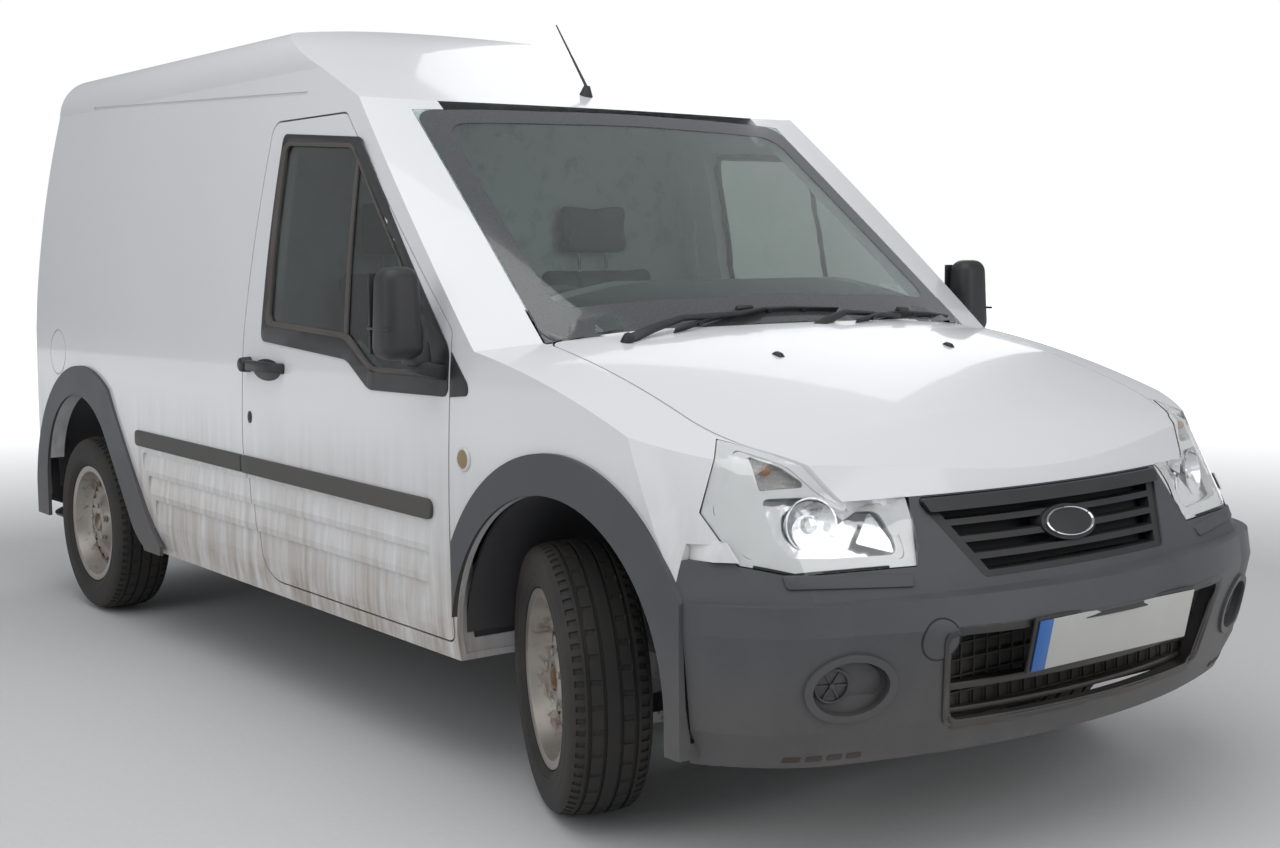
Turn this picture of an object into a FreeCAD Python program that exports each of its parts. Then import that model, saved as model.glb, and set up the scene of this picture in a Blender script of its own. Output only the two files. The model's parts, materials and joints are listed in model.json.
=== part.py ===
import FreeCAD, Part
import math
import os
from FreeCAD import Vector

# Panel van, closed high-roof body. Millimetres, +X forward, +Y left, +Z up,
# origin on the ground under the middle of the overall length.

# Driving dimensions of the whole vehicle
FRONT_AXLE_X = 1362.5
REAR_AXLE_X = -1549.5
FRONT_TRACK = 1505.0
REAR_TRACK = 1552.0
TYRE_RADIUS = 312.0
HALF_WIDTH = 897.5
PANEL_GAP = 5.0
SEAT_GAP = 0.3

# Wall thicknesses
WALL = 50.0
DOOR_WALL = 49.7
FLANGE = 60.0
BONNET_WALL = 22.0
WING_WALL = 16.0
GLASS = 5.0

# Body landmarks
SILL_Z = 300.0
SILL_TOP_Z = 345.0
BELT_Z = 1070.0
CROWN_Z = 1978.0
REAR_X = -2190.0
CAB_FLOOR = (350.0, 392.0)
LOAD_FLOOR = (520.0, 562.0)
SCREEN_LOW = (940.0, 1472.0, 1308.8, 729.0)
SCREEN_HIGH = (2100.0, -92.8, -109.5, 600.0)
BULKHEAD_X = -212.0
BULKHEAD_THICK = 18.0

# Steering: kingpin through the lower ball joint and the strut top
STEER_REST = -22.0
BALL_JOINT = (0.0, 690.0, 205.0)
STRUT_TOP = (-10.0, 575.0, 812.0)


def plane_point(plane, a, b, level):
    if plane == "XZ":
        return Vector(a, level, b)
    if plane == "YZ":
        return Vector(level, a, b)
    return Vector(a, b, level)


def outline(plane, corners, level=0.0):
    """Closed wire of lines, each corner (a, b, radius) rounded by an arc."""
    count = len(corners)
    pieces = []
    for index in range(count):
        before = corners[index - 1]
        corner = corners[index]
        after = corners[(index + 1) % count]
        here = Vector(corner[0], corner[1], 0)
        back = (Vector(before[0], before[1], 0) - here)
        ahead = (Vector(after[0], after[1], 0) - here)
        back.normalize()
        ahead.normalize()
        radius = corner[2] if len(corner) > 2 else 0.0
        if radius <= 0:
            pieces.append((here, None, here))
            continue
        half = 0.5 * back.getAngle(ahead)
        reach = radius / math.tan(half)
        middle = here + (back + ahead).normalize() * (radius / math.sin(half) - radius)
        pieces.append((here + back * reach, middle, here + ahead * reach))
    edges = []
    for index in range(count):
        start, middle, end = [p and plane_point(plane, p.x, p.y, level) for p in pieces[index]]
        if middle:
            edges.append(Part.Arc(start, middle, end).toShape())
        following = pieces[(index + 1) % count][0]
        following = plane_point(plane, following.x, following.y, level)
        if end.distanceToPoint(following) > 0.001:
            edges.append(Part.makeLine(end, following))
    return Part.Wire(edges)


def path(plane, start, steps, level=0.0):
    """Closed wire from a start point and steps: (a, b) is a line, (ma, mb, a, b) an arc."""
    edges = []
    here = plane_point(plane, start[0], start[1], level)
    first = here
    for step in steps:
        there = plane_point(plane, step[-2], step[-1], level)
        if len(step) == 4:
            middle = plane_point(plane, step[0], step[1], level)
            edges.append(Part.Arc(here, middle, there).toShape())
        else:
            edges.append(Part.makeLine(here, there))
        here = there
    if here.distanceToPoint(first) > 0.001:
        edges.append(Part.makeLine(here, first))
    return Part.Wire(edges)


def grown(wire, distance):
    """Outline moved out by a distance, or in by a negative one."""
    if not distance:
        return wire
    moved = wire.makeOffset2D(distance)
    larger = Part.Face(moved).Area > Part.Face(wire).Area
    if larger != (distance > 0):
        moved = wire.makeOffset2D(-distance)
    return moved


def inset(wire, distance):
    return grown(wire, -distance)


def outward(solid):
    """The same solid with its faces turned outward."""
    if solid.isInside(Vector(1e5, 1e5, 1e5), 0.01, False):
        return solid.reversed()
    return solid


def extrude(wire, vector):
    return outward(Part.Face(wire).extrude(vector))


def box(x0, x1, y0, y1, z0, z1):
    return Part.makeBox(x1 - x0, y1 - y0, z1 - z0, Vector(x0, y0, z0))


def cylinder(radius, start, end):
    line = Vector(*end) - Vector(*start)
    return Part.makeCylinder(radius, line.Length, Vector(*start), line)


def mirrored(shape):
    return shape.mirror(Vector(0, 0, 0), Vector(0, 1, 0))


def fuse(shapes):
    return shapes[0].multiFuse(shapes[1:]).removeSplitter() if len(shapes) > 1 else shapes[0]


def both_sides(shape):
    return [shape, mirrored(shape)]


def side_prism(corners, y0, y1, grow=0.0):
    """Prism across the vehicle from an outline in the side view."""
    wire = outline("XZ", corners, y0)
    if grow:
        wire = grown(wire, grow)
    return extrude(wire, Vector(0, y1 - y0, 0))


# Body volume: front view, rear plan, tail profile, screen and roof front

def cross_section(distance):
    half = [
        (880.0, 372.0),
        (889.0, 700.0, 874.0, BELT_Z),
        (833.0, 1370.0, 779.0, 1656.0),
        (748.0, 1790.0),
        (708.0, 1889.0, 610.0, 1934.0),
    ]
    steps = list(half)
    steps.append((0.0, CROWN_Z, -610.0, 1934.0))
    points = [(868.0, SILL_Z)] + [step[-2:] for step in half]
    for index in range(len(half) - 1, -1, -1):
        end = points[index]
        step = half[index]
        if len(step) == 4:
            steps.append((-step[0], step[1], -end[0], end[1]))
        else:
            steps.append((-end[0], end[1]))
    wire = path("YZ", (868.0, SILL_Z), steps, -2400.0)
    return extrude(inset(wire, distance), Vector(4800, 0, 0))


def rear_plan(distance):
    steps = [
        (-1925.0, 905.0),
        (-2068.0, 846.0, -2135.0, 700.0),
        (REAR_X, 0.0, -2135.0, -700.0),
        (-2068.0, -846.0, -1925.0, -905.0),
        (2400.0, -905.0),
    ]
    wire = inset(path("XY", (2400.0, 905.0), steps, 100.0), distance)
    upright = extrude(wire, Vector(0, 0, 900))
    leaning = extrude(inset(path("XY", (2400.0, 905.0), steps, 1000.0), distance), Vector(96, 0, 1000))
    return upright.fuse(leaning)


def tail_profile(distance):
    """Rounds the edge between the roof and the rear."""
    steps = [(2700.0, 50.0), (2700.0, 2300.0), (-1900.0, 2300.0), (-1900.0, 2006.0), (-2000.0, 1970.0),
             (-2080.0, 1921.0, -2119.0, 1845.0), (-2400.0, 1200.0)]
    wire = inset(path("XZ", (-2400.0, 50.0), steps, -1000.0), distance)
    return extrude(wire, Vector(0, 2000, 0))


def plan_arc(z, centre_x, edge_x, edge_y, reach):
    rise = centre_x - edge_x
    radius = (edge_y * edge_y + rise * rise) / (2 * rise)
    side_x = centre_x - radius + math.sqrt(radius * radius - reach * reach)
    steps = [(centre_x, 0.0, side_x, -reach), (-2500.0, -reach), (-2500.0, reach)]
    return path("XY", (side_x, reach), steps, z)


def screen_volume(distance):
    low = plan_arc(*SCREEN_LOW, 960.0)
    high = plan_arc(*SCREEN_HIGH, 960.0)
    body = Part.makeLoft([low, high], True, True)
    body.translate(Vector(-0.485 * distance, 0, -0.885 * distance))
    return body


def roof_front_volume(distance):
    """Turned about an upright axis far behind, so the brow is curved in plan."""
    axis_x = -4000.0
    slope = math.radians(21.0)
    radius = 2200.0
    line_x = 490.0
    line_z = 1672.0
    meet_x = -330.0
    meet_z = line_z + (line_x - meet_x) * math.tan(slope)
    last = math.radians(4.0)
    reach = radius * math.tan(0.5 * (slope - last))
    low = (meet_x + reach * math.cos(slope), meet_z - reach * math.sin(slope))
    high = (meet_x - reach * math.cos(last), meet_z + reach * math.sin(last))
    centre = (low[0] - radius * math.sin(slope), low[1] - radius * math.cos(slope))
    half = 0.5 * (slope + last)
    middle = (centre[0] + radius * math.sin(half), centre[1] + radius * math.cos(half))
    far_x = 1700.0
    far_z = line_z - (far_x - line_x) * math.tan(slope)
    end_z = high[1] + (high[0] + 2600.0) * math.tan(last)
    steps = [(far_x, 100.0), (far_x, far_z), low, (middle[0], middle[1], high[0], high[1]), (-2600.0, end_z)]
    wire = path("XZ", (-2600.0, 100.0), steps)
    face = Part.Face(wire)
    face.rotate(Vector(axis_x, 0, 0), Vector(0, 0, 1), -45)
    body = face.revolve(Vector(axis_x, 0, 0), Vector(0, 0, 1), 90)
    body.translate(Vector(-0.485 * distance, 0, -0.885 * distance))
    return body


def nose_volume(distance):
    """Front end: crowned bonnet surface and a leaning, curved front."""
    axis_z = -4000.0
    steps = [(1100.0, 1124.0), (1500.0, 1042.0, 1850.0, 926.0), (2000.0, 848.0, 2120.0, 735.0),
             (2300.0, 480.0), (2400.0, 100.0)]
    wire = path("XZ", (1100.0, 100.0), steps)
    face = Part.Face(wire)
    face.rotate(Vector(0, 0, axis_z), Vector(1, 0, 0), -15)
    top = outward(face.revolve(Vector(0, 0, axis_z), Vector(1, 0, 0), 30))
    top.translate(Vector(-0.35 * distance, 0, -0.94 * distance))
    shape = [
        (1560.0, 905.0),
        (1900.0, 872.0, 2060.0, 700.0),
        (2172.0, 0.0, 2060.0, -700.0),
        (1900.0, -872.0, 1560.0, -905.0),
        (900.0, -905.0),
    ]
    plan = inset(path("XY", (900.0, 905.0), shape, 600.0), distance)
    plan.translate(Vector(58, 0, -100))
    front = extrude(plan, Vector(-58 * 6.5, 0, 650))
    lower = inset(path("XY", (900.0, 905.0), shape, 100.0), distance)
    lower.translate(Vector(58, 0, 0))
    front = front.fuse(extrude(lower, Vector(0, 0, 400)))
    return top.common(front)


def make_hull(distance):
    cabin = cross_section(distance).common(rear_plan(distance)).common(tail_profile(distance))
    house = screen_volume(distance).common(roof_front_volume(distance))
    front = house.fuse([nose_volume(distance), box(-2400, 1101, -1000, 1000, 200, 945)])
    return cabin.common(front).removeSplitter()


HULLS = {}


def hull(distance):
    """Body volume with every outer face moved in by a distance."""
    if distance not in HULLS:
        HULLS[distance] = make_hull(distance)
    return HULLS[distance].copy()




def skin(outside, inside, region):
    """Part of the body skin between two depths that lies in a region."""
    return hull(outside).common(region).cut(hull(inside))


def body_shell():
    """Walls and roof in one, open below, at the rear doors and at the screen."""
    shell = hull(0).cut(hull(WALL)).cut(box(-2139.0, 990.0, -827.0, 827.0, 100.0, 500.0))
    return shell.cut(rear_door_region(-REAR_DOOR_HALF, REAR_DOOR_HALF, PANEL_GAP)).cut(screen_pocket())


NODES = {}


def node(name, shape):
    NODES[name] = shape


# Outlines in the side view (x, z, corner radius)
FRONT_DOOR = [(999.5, SILL_TOP_Z, 30), (999.5, 1090.0, 25), (322.0, 1648.0, 40),
              (-118.0, 1648.0, 40), (-161.0, 1000.0, 600), (-161.0, 700.0, 300),
              (-38.0, SILL_TOP_Z, 120)]
DOOR_WINDOW = [(872.0, 972.0, 30), (872.0, 1128.0, 30), (390.0, 1574.0, 60),
               (-30.0, 1600.0, 45), (-14.0, 1068.0, 30), (470.0, 1048.0, 40),
               (620.0, 966.0, 60)]
SLIDING_DOOR = [(-250.0, SILL_TOP_Z, 60), (-250.0, 1700.0, 60), (-1010.0, 1716.0, 60),
                (-1030.0, 900.0, 200), (-1010.0, SILL_TOP_Z, 150)]
ROOF_LINE = [(-2400.0, 1850.0, 0), (-1680.0, 1799.0, 0), (60.0, 1722.0, 0),
             (380.0, 1684.0, 0), (900.0, 1684.0, 0), (900.0, 2300.0, 0), (-2400.0, 2300.0, 0)]
REAR_DOOR_HALF = 694.0
REAR_DOOR_SPLIT = -90.0
REAR_DOOR_Z = (525.0, 1790.0)
RIGHT = (-1000.0, -300.0)
LEFT = (300.0, 1000.0)


def rear_door_region(y0, y1, grow):
    """Prism along the length seen from behind, its sides following the body sides."""
    low, high = REAR_DOOR_Z
    lean = 60.0

    def shift(y):
        if abs(y) < 0.9 * REAR_DOOR_HALF:
            return y
        return math.copysign(abs(y) - lean, y)
    corners = [(y0, low, 40), (y0, 1050.0, 300), (shift(y0), high, 50),
               (shift(y1), high, 50), (y1, 1050.0, 300), (y1, low, 40)]
    if abs(y0) < 0.9 * REAR_DOOR_HALF:
        corners[0] = (y0, low, 4)
        corners[1] = (y0, 1050.0, 0)
        corners[2] = (y0, high, 4)
    if abs(y1) < 0.9 * REAR_DOOR_HALF:
        corners[3] = (y1, high, 4)
        corners[4] = (y1, 1050.0, 0)
        corners[5] = (y1, low, 4)
    wire = outline("YZ", [c for c in corners], -2300.0)
    if grow:
        wire = grown(wire, grow)
    return extrude(wire, Vector(320, 0, 0))


WING_REAR = [(1005.0, 200.0, 0), (1005.0, 1088.0, 0), (1060.0, 1120.0, 0), (1200.0, 1400.0, 0),
             (2400.0, 1400.0, 0), (2400.0, 200.0, 0)]


BODY_SIDE = [(-2400.0, 518.3), (REAR_AXLE_X - 330, 518.3), (REAR_AXLE_X - 330, 200.0), (1005.0, 200.0),
             (1005.0, 1088.0), (1060.0, 1120.0), (1200.0, 1400.0), (1200.0, 1684.0), (380.0, 1684.0),
             (60.0, 1722.0), (-1680.0, 1799.0), (-2400.0, 1850.0)]


def ring(corners, y_range, outside, inside):
    """Frame-shaped prism along the edge of an outline."""
    frame = side_prism(corners, y_range[0], y_range[1], outside)
    return frame.cut(side_prism(corners, y_range[0], y_range[1], -inside))


def seal_flange(frame):
    """Return flange behind a door's edge, where its seal sits."""
    return skin(WALL, FLANGE, frame.common(box(-2400, 1004, -1000, 1000, CAB_FLOOR[1], 2000)))


def rear_ring():
    frame = rear_door_region(-REAR_DOOR_HALF, REAR_DOOR_HALF, 12)
    return frame.cut(rear_door_region(-REAR_DOOR_HALF, REAR_DOOR_HALF, -18))


# Each rib: rear_x, front_x, top_z, bottom_z and the side's distance from the middle at its top and bottom
RIBS = [(-955.0, 912.0, 634.0, 566.0, 888.5, 887.4), (-915.0, 905.0, 560.0, 490.0, 887.4, 885.4),
        (-868.0, 900.0, 484.0, 404.0, 885.3, 881.2)]
RIB_DEPTH = 7.0


def rib_pressings():
    """Wedges under each rib's lip: deepest at the top, running out at the bottom."""
    wedges = []
    for rear_x, front_x, top_z, bottom_z, top_y, bottom_y in RIBS:
        corners = [(-930.0, top_z), (-top_y + RIB_DEPTH, top_z - 9.0), (-bottom_y - 0.8, bottom_z),
                   (-930.0, bottom_z)]
        wedge = extrude(outline("YZ", corners, rear_x), Vector(front_x - rear_x, 0, 0))
        slot = [(rear_x, bottom_z - 1, 28), (front_x, bottom_z - 1, 28), (front_x, top_z + 1, 28),
                (rear_x, top_z + 1, 28)]
        wedges.append(wedge.common(side_prism(slot, -940, -860)))
    return wedges


def ribbed(panel):
    for wedge in rib_pressings():
        for cutter in both_sides(wedge):
            panel = panel.cut(cutter)
    return panel


def side_panels():
    wall = body_shell().common(side_prism(BODY_SIDE, -1000, -560))
    for opening in (arch_opening("rear", -1000, -500), tail_lamp_prism(SEAT_GAP),
                    side_prism(FRONT_DOOR, RIGHT[0], RIGHT[1], PANEL_GAP)):
        wall = wall.cut(opening)
    rear = seal_flange(rear_ring().common(box(-2400, -2000, -1000, -300, LOAD_FLOOR[1], 1700)))
    front = seal_flange(ring(FRONT_DOOR, RIGHT, 12, 16)).cut(screen_region(-42.0))
    wall = fuse([wall, rear, front]).cut(roof_groove())
    seat = skin(0, 5.3, cylinder(FLAP_RADIUS + PANEL_GAP, (FLAP_X, -1000, FLAP_Z), (FLAP_X, -700, FLAP_Z)))
    well = cylinder(FLAP_RADIUS - 8, (FLAP_X, -1000, FLAP_Z), (FLAP_X, -858, FLAP_Z))
    node("side_panel_right", ribbed(wall.cut(seat).cut(well)))
    flap = skin(0, 5, cylinder(FLAP_RADIUS, (FLAP_X, -1000, FLAP_Z), (FLAP_X, -700, FLAP_Z)))
    node("fuel_flap", flap)
    slide_hole = side_prism(SLIDING_DOOR, LEFT[0], LEFT[1], PANEL_GAP)
    slide_ring = ring(SLIDING_DOOR, LEFT, 12, 16).common(box(-1100, -200, 0, 1000, LOAD_FLOOR[1] + SEAT_GAP, 2000))
    left = fuse([mirrored(wall).cut(slide_hole), seal_flange(slide_ring)])
    node("side_panel_left", ribbed(left))
    node("sliding_door", ribbed(door_skin(side_prism(SLIDING_DOOR, LEFT[0], LEFT[1]))))


def door_skin(region):
    return skin(0, DOOR_WALL, region).cut(box(-2400, 1100, -829.5, 829.5, 100, 372))


def front_doors():
    window = side_prism(DOOR_WINDOW, RIGHT[0], RIGHT[1])
    door = door_skin(side_prism(FRONT_DOOR, RIGHT[0], RIGHT[1])).cut(window)
    glass = skin(5, 10, side_prism(DOOR_WINDOW, RIGHT[0], RIGHT[1], -SEAT_GAP))
    for side in ("right", "left"):
        node("front_door_" + side, ribbed(door if side == "right" else mirrored(door)))
        node("door_glass_" + side, glass if side == "right" else mirrored(glass))


def roof_groove():
    """Pressed crease along the joint of the roof and the sides, ending behind the screen."""
    corners = [(-1680.0, 1793.0, 0), (60.0, 1716.0, 0), (60.0, 1727.0, 0), (-1680.0, 1804.0, 0)]
    return skin(0, 5, side_prism(corners, -1000, 1000))


def roof():
    panel = body_shell().common(side_prism(ROOF_LINE, -1000, 1000))
    for x in RACK_X:
        for y in (-RACK_Y, RACK_Y):
            panel = panel.cut(cylinder(RACK_HOLE, (x, y, 1800), (x, y, 2100)))
    header = seal_flange(rear_ring().common(box(-2400, -2000, -1000, 1000, 1700, 2000)))
    panel = panel.cut(roof_groove())
    root = skin(0, FLANGE, box(-2400, -2000, -559.7, 559.7, REAR_DOOR_Z[1] + PANEL_GAP, 1840))
    node("roof", fuse([panel, root, header]))


RACK_X = (-500.0, -1700.0)
RACK_Y = 580.0
RACK_HOLE = 4.25
LASHING_X = (-500.0, -1800.0)
LASHING_Y = 400.0
TOW_X = (-1860.0, -1980.0)
TOW_Y = 465.0
TOW_HOLE = 6.5


def screen_pocket():
    """Rebate for the glass and the daylight opening behind it."""
    return skin(0, 5, screen_region(1.0)).fuse(screen_region(-42.0))


def rear_doors():
    for name, y0, y1 in (("rear_door_right", -REAR_DOOR_HALF, REAR_DOOR_SPLIT),
                         ("rear_door_left", REAR_DOOR_SPLIT + PANEL_GAP, REAR_DOOR_HALF)):
        node(name, skin(0, DOOR_WALL, rear_door_region(y0, y1, 0)))


# The bonnet's rear edge comes nearer to the glass as it opens, so the glass stands a little further back
SCREEN_FOOT_GAP = PANEL_GAP + 2.5


def windscreen():
    behind_bonnet = plan_outline_prism(BONNET_PLAN, 700, 1300, SCREEN_FOOT_GAP)
    node("windscreen", skin(0, GLASS, screen_region(0)).cut(behind_bonnet))


def screen_region(grow):
    """Screen outline projected square to the glass."""
    normal = Vector(0.595, 0, 0.804).normalize()
    points = [Vector(1290, 0, 1075), Vector(1164.5, -716, 1058), Vector(439.5, -650, 1651),
              Vector(490, 0, 1668), Vector(439.5, 650, 1651), Vector(1164.5, 716, 1058)]
    flat = []
    for point in points:
        flat.append(point - normal * (point - points[0]).dot(normal))
    edges = [Part.Arc(flat[1], flat[0], flat[5]).toShape(), Part.makeLine(flat[5], flat[4]),
             Part.Arc(flat[4], flat[3], flat[2]).toShape(), Part.makeLine(flat[2], flat[1])]
    wire = Part.Wire(edges)
    if grow:
        wire = grown(wire, grow)
    face = Part.Face(wire)
    face.translate(normal * -260)
    return face.extrude(normal * 520)


def plan_outline_prism(corners, z0, z1, grow=0.0):
    wire = outline("XY", corners, z0)
    if grow:
        wire = grown(wire, grow)
    return extrude(wire, Vector(0, 0, z1 - z0))


BONNET_PLAN = [(1168.0, -712.0, 30), (1800.0, -722.0, 300), (2010.0, -560.0, 200), (2100.0, -408.0, 30),
               (2140.0, 0.0, 3000), (2100.0, 408.0, 30), (2010.0, 560.0, 200), (1800.0, 722.0, 300),
               (1168.0, 712.0, 30), (1300.0, 0.0, 1500)]
LAMP_POINTS = [Vector(1798, -727, 895), Vector(1960, -640, 862), Vector(2082, -440, 790),
               Vector(2117, -463, 646), Vector(2060, -740, 650), Vector(1990, -826, 672),
               Vector(1900, -850, 770)]


def lamp_prism(grow=0.0):
    direction = Vector(1, -0.62, 0.30)
    direction.normalize()
    origin = LAMP_POINTS[0]
    flat = [p - direction * (p - origin).dot(direction) for p in LAMP_POINTS]
    wire = Part.makePolygon(flat + [flat[0]])
    if grow:
        wire = grown(wire, grow)
    face = Part.Face(wire)
    face.translate(direction * -420)
    return face.extrude(direction * 900)


def front_end():
    nose_shell = skin(0, WING_WALL, side_prism(WING_REAR, -1000, 1000))
    bonnet_zone = plan_outline_prism(BONNET_PLAN, 700, 1300)
    bonnet_hole = plan_outline_prism(BONNET_PLAN, 700, 1300, PANEL_GAP)
    bonnet = skin(0, BONNET_WALL, bonnet_zone).cut(box(2000, 2400, -900, 900, 400, 772))
    node("bonnet", bonnet)
    lamp = lamp_prism(0)
    lamp_hole = lamp_prism(SEAT_GAP)
    half = box(1005, 2400, -1000, -430, 200, 1400)
    wing = nose_shell.common(half)
    edge = plan_outline_prism(BONNET_PLAN, 700, 1300, 12).common(half)
    rim = skin(0, 30, edge.cut(bonnet_hole)).fuse(skin(22.3, 30, edge.cut(plan_outline_prism(BONNET_PLAN, 700, 1300, -16))))
    rim = rim.common(box(1190, 1960, -1000, 0, 700, 1300))
    wing = fuse([wing.cut(bonnet_hole), rim]).cut(lamp_hole).cut(arch_opening("front", -1000, -430))
    wing = wing.cut(box(1861.5, 2400, -1000, 0, 200, 700))
    wing = wing.cut(screen_region(PANEL_GAP)).cut(box(990, 2100, -458, -400, 200, 340))
    node("front_wings", Part.makeCompound(both_sides(wing)))
    lamp_body = skin(0, 30, lamp).cut(bonnet_hole)
    node("headlamps", Part.makeCompound(both_sides(lamp_body)))

FLAP_X = -1772.5
FLAP_Z = 920.0
FLAP_RADIUS = 78.0


def arch_opening(end, y0, y1, grow=0.0):
    """Wheel opening seen from the side; the front one is round, the rear one has a raked front foot."""
    if end == "front":
        axle = FRONT_AXLE_X + 62.0
        radius = 412.0 + grow
        ring = cylinder(radius, (axle, y0, 336.0), (axle, y1, 336.0))
        return ring.fuse(box(axle - radius, axle + radius, y0, y1, 50, 336.0))
    axle = REAR_AXLE_X
    steps = [(axle - 357.0, 425.0), (axle - 131.0, 754.0, axle + 265.0, 651.0), (axle + 470.0, 404.0),
             (axle + 525.0, 348.0, axle + 590.0, 313.0), (axle + 640.0, 240.0)]
    wire = path("XZ", (axle - 357.0, 240.0), steps, y0)
    if grow:
        wire = grown(wire, grow)
    return extrude(wire, Vector(0, y1 - y0, 0))


def flare_outline(end, y0, y1):
    if end == "front":
        axle = FRONT_AXLE_X + 88.0
        ring = cylinder(497.0, (axle, y0, 346.0), (axle, y1, 346.0))
        return ring.common(box(axle - 600, axle + 435, y0, y1, 268, 1000))
    axle = REAR_AXLE_X
    steps = [(axle - 478.0, 425.0), (axle - 90.0, 866.0, axle + 300.0, 815.0), (axle + 570.0, 486.0),
             (axle + 640.0, 405.0, axle + 735.0, 330.0), (axle + 735.0, 300.0)]
    wire = path("XZ", (axle - 478.0, 300.0), steps, y0)
    return extrude(wire, Vector(0, y1 - y0, 0))


# The front flare ends this far ahead of the front door's edge, which swings out past it
FLARE_DOOR_GAP = 20.0


def arch_flares():
    solids = []
    flare_end = FRONT_DOOR[0][0] + FLARE_DOOR_GAP
    for end in ("front", "rear"):
        band = flare_outline(end, -HALF_WIDTH, -840.0).cut(arch_opening(end, -1000, -500, 0.0))
        band = band.cut(hull(0).fuse(box(-2400, 1300, -885, 0, 200, 380)))
        if end == "front":
            band = band.cut(box(flare_end - 400, flare_end, -1000, -500, 200, 1000))
        solids += [solid for solid in band.Solids if solid.Volume > 2e4]
    flipped = [mirrored(solid) for solid in solids]
    node("arch_flares", Part.makeCompound(solids + flipped))


def tail_lamp_prism(grow=0.0):
    corners = [(-712.0, 770.0, 15), (-712.0, 1150.0, 15), (-800.0, 1140.0, 40), (-830.0, 960.0, 200),
               (-822.0, 780.0, 40)]
    wire = outline("YZ", corners, -2300.0)
    if grow:
        wire = grown(wire, grow)
    return extrude(wire, Vector(360, 0, 0))


def tail_lamps():
    lamp = skin(0, 30, tail_lamp_prism().common(box(-2400, -2030, -900, 0, 0, 2000)))
    node("tail_lamps", Part.makeCompound(both_sides(lamp)))


def underbody():
    step_x = BULKHEAD_X + BULKHEAD_THICK
    profile = [(999.0, CAB_FLOOR[0]), (999.0, CAB_FLOOR[1]), (step_x, CAB_FLOOR[1]), (step_x, LOAD_FLOOR[1]),
               (-2300.0, LOAD_FLOOR[1]), (-2300.0, 420.0), (-2120.0, 420.0), (-2120.0, LOAD_FLOOR[0]),
               (BULKHEAD_X, LOAD_FLOOR[0]), (BULKHEAD_X, CAB_FLOOR[0])]
    floor = hull(WALL).common(side_prism(profile, -900, 900))
    axle_z = 400.0
    outer = fuse([cylinder(418, (REAR_AXLE_X, side * 900, axle_z), (REAR_AXLE_X, side * 555, axle_z))
                  for side in (-1, 1)])
    inner = []
    for side in (-1, 1):
        y0, y1 = sorted((side * 900.0, side * 567.0))
        inner.append(cylinder(406, (REAR_AXLE_X, y0, axle_z), (REAR_AXLE_X, y1, axle_z)))
        inner.append(box(REAR_AXLE_X - 406, REAR_AXLE_X + 406, y0, y1, 200, axle_z))
    tubs = outer.common(hull(WALL)).common(box(-2300, 0, -900, 900, axle_z, 900))
    pieces = [fuse([floor, tubs]).cut(inner)]
    for side in (-1, 1):
        y0, y1 = sorted((side * 430.0, side * 500.0))
        pieces.append(box(-2100, BULKHEAD_X + 64, y0, y1, 440, 534))
        pieces.append(box(BULKHEAD_X + 4, 1000, y0, y1, 280, 364))
        pieces.append(box(BULKHEAD_X + 4, BULKHEAD_X + 64, y0, y1, 290, 500))
        y0, y1 = sorted((side * 395.0, side * 455.0))
        pieces.append(box(990, 2086, y0, y1, 300, 400))
        y0, y1 = sorted((side * 395.0, side * (330.3 if side > 0 else 300.3)))
        pieces.append(box(1650, 1750, y0, y1, 370, 400))
    firewall = hull(FLANGE).common(box(985, 1001, -800, 800, CAB_FLOOR[0], 1200))
    pieces.append(firewall)
    pieces.append(box(2040, 2085, -455, 455, 330, 390))
    for x, low, high in ((-2070.0, 455, 530), (-1020.0, 455, 530), (-300.0, 455, 530), (600.0, 290, 360)):
        pieces.append(box(x, x + 60, -500, 500, low, high))
    wells = front_wells()
    body = fuse(pieces + wells)
    holes = [cylinder(RACK_HOLE, (x, y, 425), (x, y, 600)) for x in LASHING_X for y in (-LASHING_Y, LASHING_Y)]
    holes += [cylinder(TOW_HOLE, (x, y, 420), (x, y, 545)) for x in TOW_X for y in (-TOW_Y, TOW_Y)]
    node("underbody", body.cut(holes))


def front_wells():
    axle = FRONT_AXLE_X + 62.0
    seated_nose = hull(WING_WALL)
    shell = cylinder(424, (axle, -850, 336), (axle, -455, 336)).cut(
        cylinder(414, (axle, -900, 336), (axle, -461, 336)))
    shell = shell.common(box(1000, 2000, -900, -400, 300, 1200)).common(seated_nose)
    shell = shell.cut(box(900, 1011.7, -900, -500, 200, 1200)).cut(box(1835.7, 2200, -900, -430, 200, 318))
    tower = cylinder(75, (FRONT_AXLE_X - 10, -575, 700), (FRONT_AXLE_X - 10, -575, 832))
    tower = tower.cut(cylinder(60, (FRONT_AXLE_X - 10, -575, 690), (FRONT_AXLE_X - 10, -575, 822)))
    shell = shell.cut(cylinder(60, (FRONT_AXLE_X - 10, -575, 690), (FRONT_AXLE_X - 10, -575, 822)))
    side = shell.fuse(tower.cut(cylinder(414, (axle, -900, 336), (axle, -461, 336))))
    return both_sides(side)


def bumper_plan(z, front, end, mid_x, mid_y, side, distance=0.0):
    steps = [(1862.0, side), (mid_x, mid_y, end, 650.0), (front, 0.0, end, -650.0),
             (mid_x, -mid_y, 1862.0, -side), (1700.0, -side)]
    return inset(path("XY", (1700.0, side), steps, z), distance)


BUMPER_LEVELS = [(252.0, 2165.0, 2050.0, 1950.0, 790.0, 850.0), (330.0, 2200.0, 2078.0, 1972.0, 822.0, 876.0),
                 (530.0, 2262.5, 2122.0, 1992.0, 842.0, 893.0), (590.0, 2240.0, 2112.0, 1988.0, 838.0, 893.0)]


FOG_CENTRE = Vector(2104.0, -640.0, 421.0)
FOG_NORMAL = Vector(0.90, -0.38, -0.20)


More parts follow.
